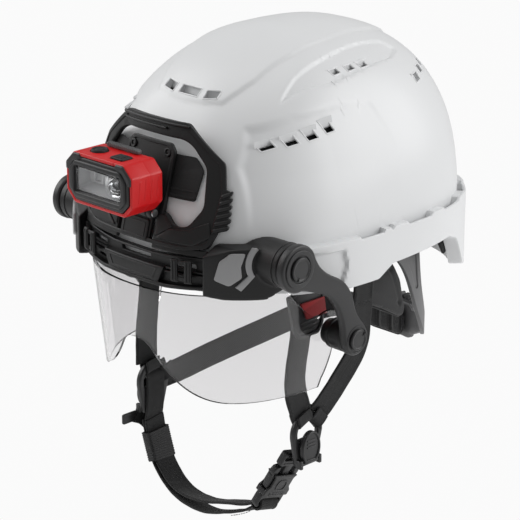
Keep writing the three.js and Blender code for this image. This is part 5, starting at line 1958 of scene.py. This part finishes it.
def cushion(outline, low, high, rule, cap=1.4, grooves=()):
    """A bent pad, blown up as cloth. `grooves` are sewn lines in (u, v), pressed in on the face."""
    flat = blown(plate([outline], low, high, (high - low) * 0.42, 5), cap)
    middle = (low + high) / 2

    def pressed(p):
        q = p.copy()
        side = np.clip((p[:, 2] - middle) / (high - middle), -1, 1)
        for a, b in grooves:
            a, b = np.array(a, float), np.array(b, float)
            t = np.clip(((p[:, :2] - a) @ (b - a)) / ((b - a) @ (b - a)), 0, 1)
            gap = np.linalg.norm(p[:, :2] - a - t[:, None] * (b - a), axis=1)
            q[:, 2] -= side * 1.7 * np.exp(-(gap / 1.7) ** 2)
        q[:, 2] = np.minimum(q[:, 2], high)
        return q
    return moved(modified(moved(flat, pressed), "SUBSURF", levels=1), rule)


def pad(node, mesh, material, body):
    """A pad's cover, put in place of its CAD node."""
    stand_in(node, mesh, material, body, 60)


def welt(outline, level, r, rule):
    """The seam cord round the edge of a pad."""
    ring = [(u, v, level) for u, v in outline]
    return moved(tube(ring, r, 8, closed=True), rule)


print("cover tools ready")

# %% Wedges, nape, brow and crown pads
WEDGE = rounded([(14.5, -40.5), (34, -31), (50, -38.6), (60.4, -54), (68, -78), (63.6, -84.6),
                 (14.5, -59.6)], 4, 8)
wedge_grooves = [((24, -43), (46, -43)), ((46, -43), (58, -72)), ((58, -72), (24, -52))]
wedge = joined(cushion(WEDGE, -7.8, -1.4, nape_side(), 1.2, wedge_grooves),
               welt(WEDGE, -4.9, 0.8, nape_side()))
other_wedge = mirrored(wedge)
pad("side_pad_left", wedge, soft_foam, "nape_cradle")
pad("side_pad_right", other_wedge, soft_foam, "nape_cradle")

NAPE_PAD = box_outline(-19, -127.4, 19, -104.6, 8, 8)
pad_grooves = [((x, -124), (x, -108)) for x in (-7, 7)]
nape_cushion = joined(cushion(NAPE_PAD, -6.2, -1.0, nape_back(), 1.2, pad_grooves),
                      welt(NAPE_PAD, -3.8, 0.8, nape_back()))
pad("nape_pad", nape_cushion, pad_cover, "nape_cradle")


def brow_rule():
    def place(u, z):
        share = np.clip(np.abs(u) / 71.7, 0, 0.99)
        return np.stack([u, -93.7 * (1 - share ** 2.2) ** (1 / 2.2), z + 0 * u], -1)
    return wrapped(place)


BROW = rounded([(-57, -15), (-24, -16.6), (24, -16.6), (57, -15), (57, 11), (30, 12.6), (-30, 12.6),
                (-57, 11)], 7, 8)
brow_grooves = [((x, -14), (x, 11)) for x in (-34, -12, 12, 34)]
brow = joined(cushion(BROW, -2.6, 2.6, brow_rule(), 1.2, brow_grooves), welt(BROW, -0.2, 0.8, brow_rule()))
pad("brow_pad", brow, pad_cover, "helmet")

turns = np.linspace(0, math.tau, 72, endpoint=False)
CROWN_PAD = [(25.6 * bend(np.cos(t), 2.4), 33.6 * bend(np.sin(t), 2.4)) for t in turns]
crown = joined(cushion(CROWN_PAD, 90.6, 96.4, lambda p: p, 1.2, [((-22, 0), (22, 0)), ((0, -30), (0, 30))]),
               welt(CROWN_PAD, 93.5, 0.8, lambda p: p))
pad("crown_pad", crown, pad_cover, "helmet")
print("pads made")

# %% [markdown]
# ## Inside the shell
# The impact liner is moulded bead foam with long channels that carry air from the vents. Below it the
# headband hangs on four posts, and two crossed straps carry the crown pad.

# %% Liner with air channels
LINER_LOW = box_mm("foam_liner")[0][2]


def liner_rows(grow, rows, columns, channel):
    """Rings from the liner's rim to near its crown, pushed outwards along eight channels."""
    turn = even_turns(columns, grow)
    made = [dome(turn, np.zeros(columns), grow) + (0, 0, LINER_LOW)]
    for z in (CROWN + grow) * np.sin(np.linspace(0.01, 0.985, rows) * math.pi / 2):
        ring = dome(turn, np.full(columns, z), grow)
        grooves = np.clip(np.cos(turn * 8) * 2.4 - 1.1, 0, 1) * soft_step(z - 24,
                20) * (1 - soft_step(z - 102, 16))
        out = ring / np.linalg.norm(ring, axis=1)[:, None]
        made.append(ring + out * (channel * grooves)[:, None])
    return made


def liner():
    outer = liner_rows(-5.4, 30, 192, 0)
    inner = liner_rows(-19.0, 30, 192, 6.0)
    return grid(np.stack(outer[::-1] + inner))


stand_in("foam_liner", liner(), foam_black, "helmet", 50)
print("liner made")

# %% Headband and its posts
def band_ring(wide, deep, power, section, columns=160):
    turn = np.linspace(0, math.tau, columns, endpoint=False)
    rows = [np.stack([(wide + w) * bend(np.cos(turn), power), (deep + w) * bend(np.sin(turn), power),
                      z + 0 * turn], -1) for w, z in section]
    return grid(np.stack(rows + rows[:1]), caps=False)


def headband():
    section = [(0, -15.2), (0, -11), (0.9, -10.4), (0.9, -8.6), (0, -8), (0, 6), (0.9, 6.6), (0.9, 8.4),
               (0, 9),
               (0, 13.2), (-0.6, 14), (-1.8, 14), (-2.4, 13.2), (-2.4, -15.2), (-1.8, -16), (-0.6, -16)]
    parts = [band_ring(78, 100, 2.2, section)]
    for degrees in (44, 136, -44, -136):
        angle = math.radians(degrees)
        x, y = 77 * bend(math.cos(angle), 2.2), 99 * bend(math.sin(angle), 2.2)
        post = plate([box_outline(-6, -8, 6, 26, 3), box_outline(-2.6, 15, 2.6, 19, 1.2)], -1.6, 1.6, 0.7,
                     3)
        post = joined(post, plate([box_outline(-4.2, -4, 4.2, 11, 1.5)], 1.2, 2.2, 0.4))
        face = math.atan2(y / 1.4, x)
        turned_out = Matrix.Rotation(face, 4, "Z") @ Matrix(((0, 0, 1, 0), (1, 0, 0, 0), (0, 1, 0, 0),
                (0, 0, 0, 1)))
        post.transform(Matrix.Translation((x, y, 0)) @ turned_out)
        parts.append(post)
    return joined(*parts)


stand_in("headband", headband(), dark_moulding, "helmet", 34)
print("headband made")

# %% Crown straps
CROWN_LONG = [(0, -94, 16), (0, -86, 60), (0, -52, 92), (0, 0, 104), (0, 52, 92), (0, 86, 60), (0, 94, 16)]
CROWN_ACROSS = [(-72, 0, 16), (-69, 0, 55), (-44, 0, 89), (0, 0, 104), (44, 0, 89), (69, 0, 55),
                (72, 0, 16)]
crossed = joined(strap(CROWN_LONG, [(1, 0, 0)] * 2, 18, 1.4, 120, 0.2),
                 strap(CROWN_ACROSS, [(0, 1, 0)] * 2, 18, 1.4, 120, 0.2))
crown_seams = joined(stitches(CROWN_LONG, [(1, 0, 0)] * 2, (0.44, 0.56), 18, 0.95),
                     stitches(CROWN_ACROSS, [(0, 1, 0)] * 2, (0.44, 0.56), 18, 0.95))
stand_in("crown_webbing", crossed, black_webbing, "helmet", 50)
finished("crown_webbing_seam", crown_seams, dark_thread, "helmet")
print("crown straps made")

# %% [markdown]
# ## What the frame already has right
# A node whose CAD shape is the real one stays, and gets its material here.

# %% Materials for the CAD nodes that stay
FINISHES = {"shell_white": white_shell, "black_plastic": black_moulding, "dark_plastic": dark_moulding,
            "grey_plastic": grey_moulding, "foam": soft_foam, "webbing": black_webbing,
            "red_label": red_label,
            "red_plastic": red_moulding, "clear_lens": clear_visor, "lamp_glass": clear_window,
            "reflector": bright_reflector, "steel": dull_steel}


def material_slots():
    """{node: its finish} from the record."""
    slots = {}
    for part in frame["record"]["subparts"]:
        slots[part.get("node") or part.get("name")] = part.get("material_slot")
    return slots


def dress_frame():
    slots = material_slots()
    shown = [n for n, o in frame["nodes"].items() if not o.hide_render]
    for name in shown:
        node = frame["nodes"][name]
        node.data.materials.clear()
        node.data.materials.append(FINISHES[slots[name]])
    return shown


print("CAD nodes that show:", dress_frame())

# %% [markdown]
# ## Size
# The box of the CAD frame, taken before any piece was added, is printed.

# %% Print the frame's box
print("CAD box", [[round(c, 4) for c in p] for p in CAD_BOX])
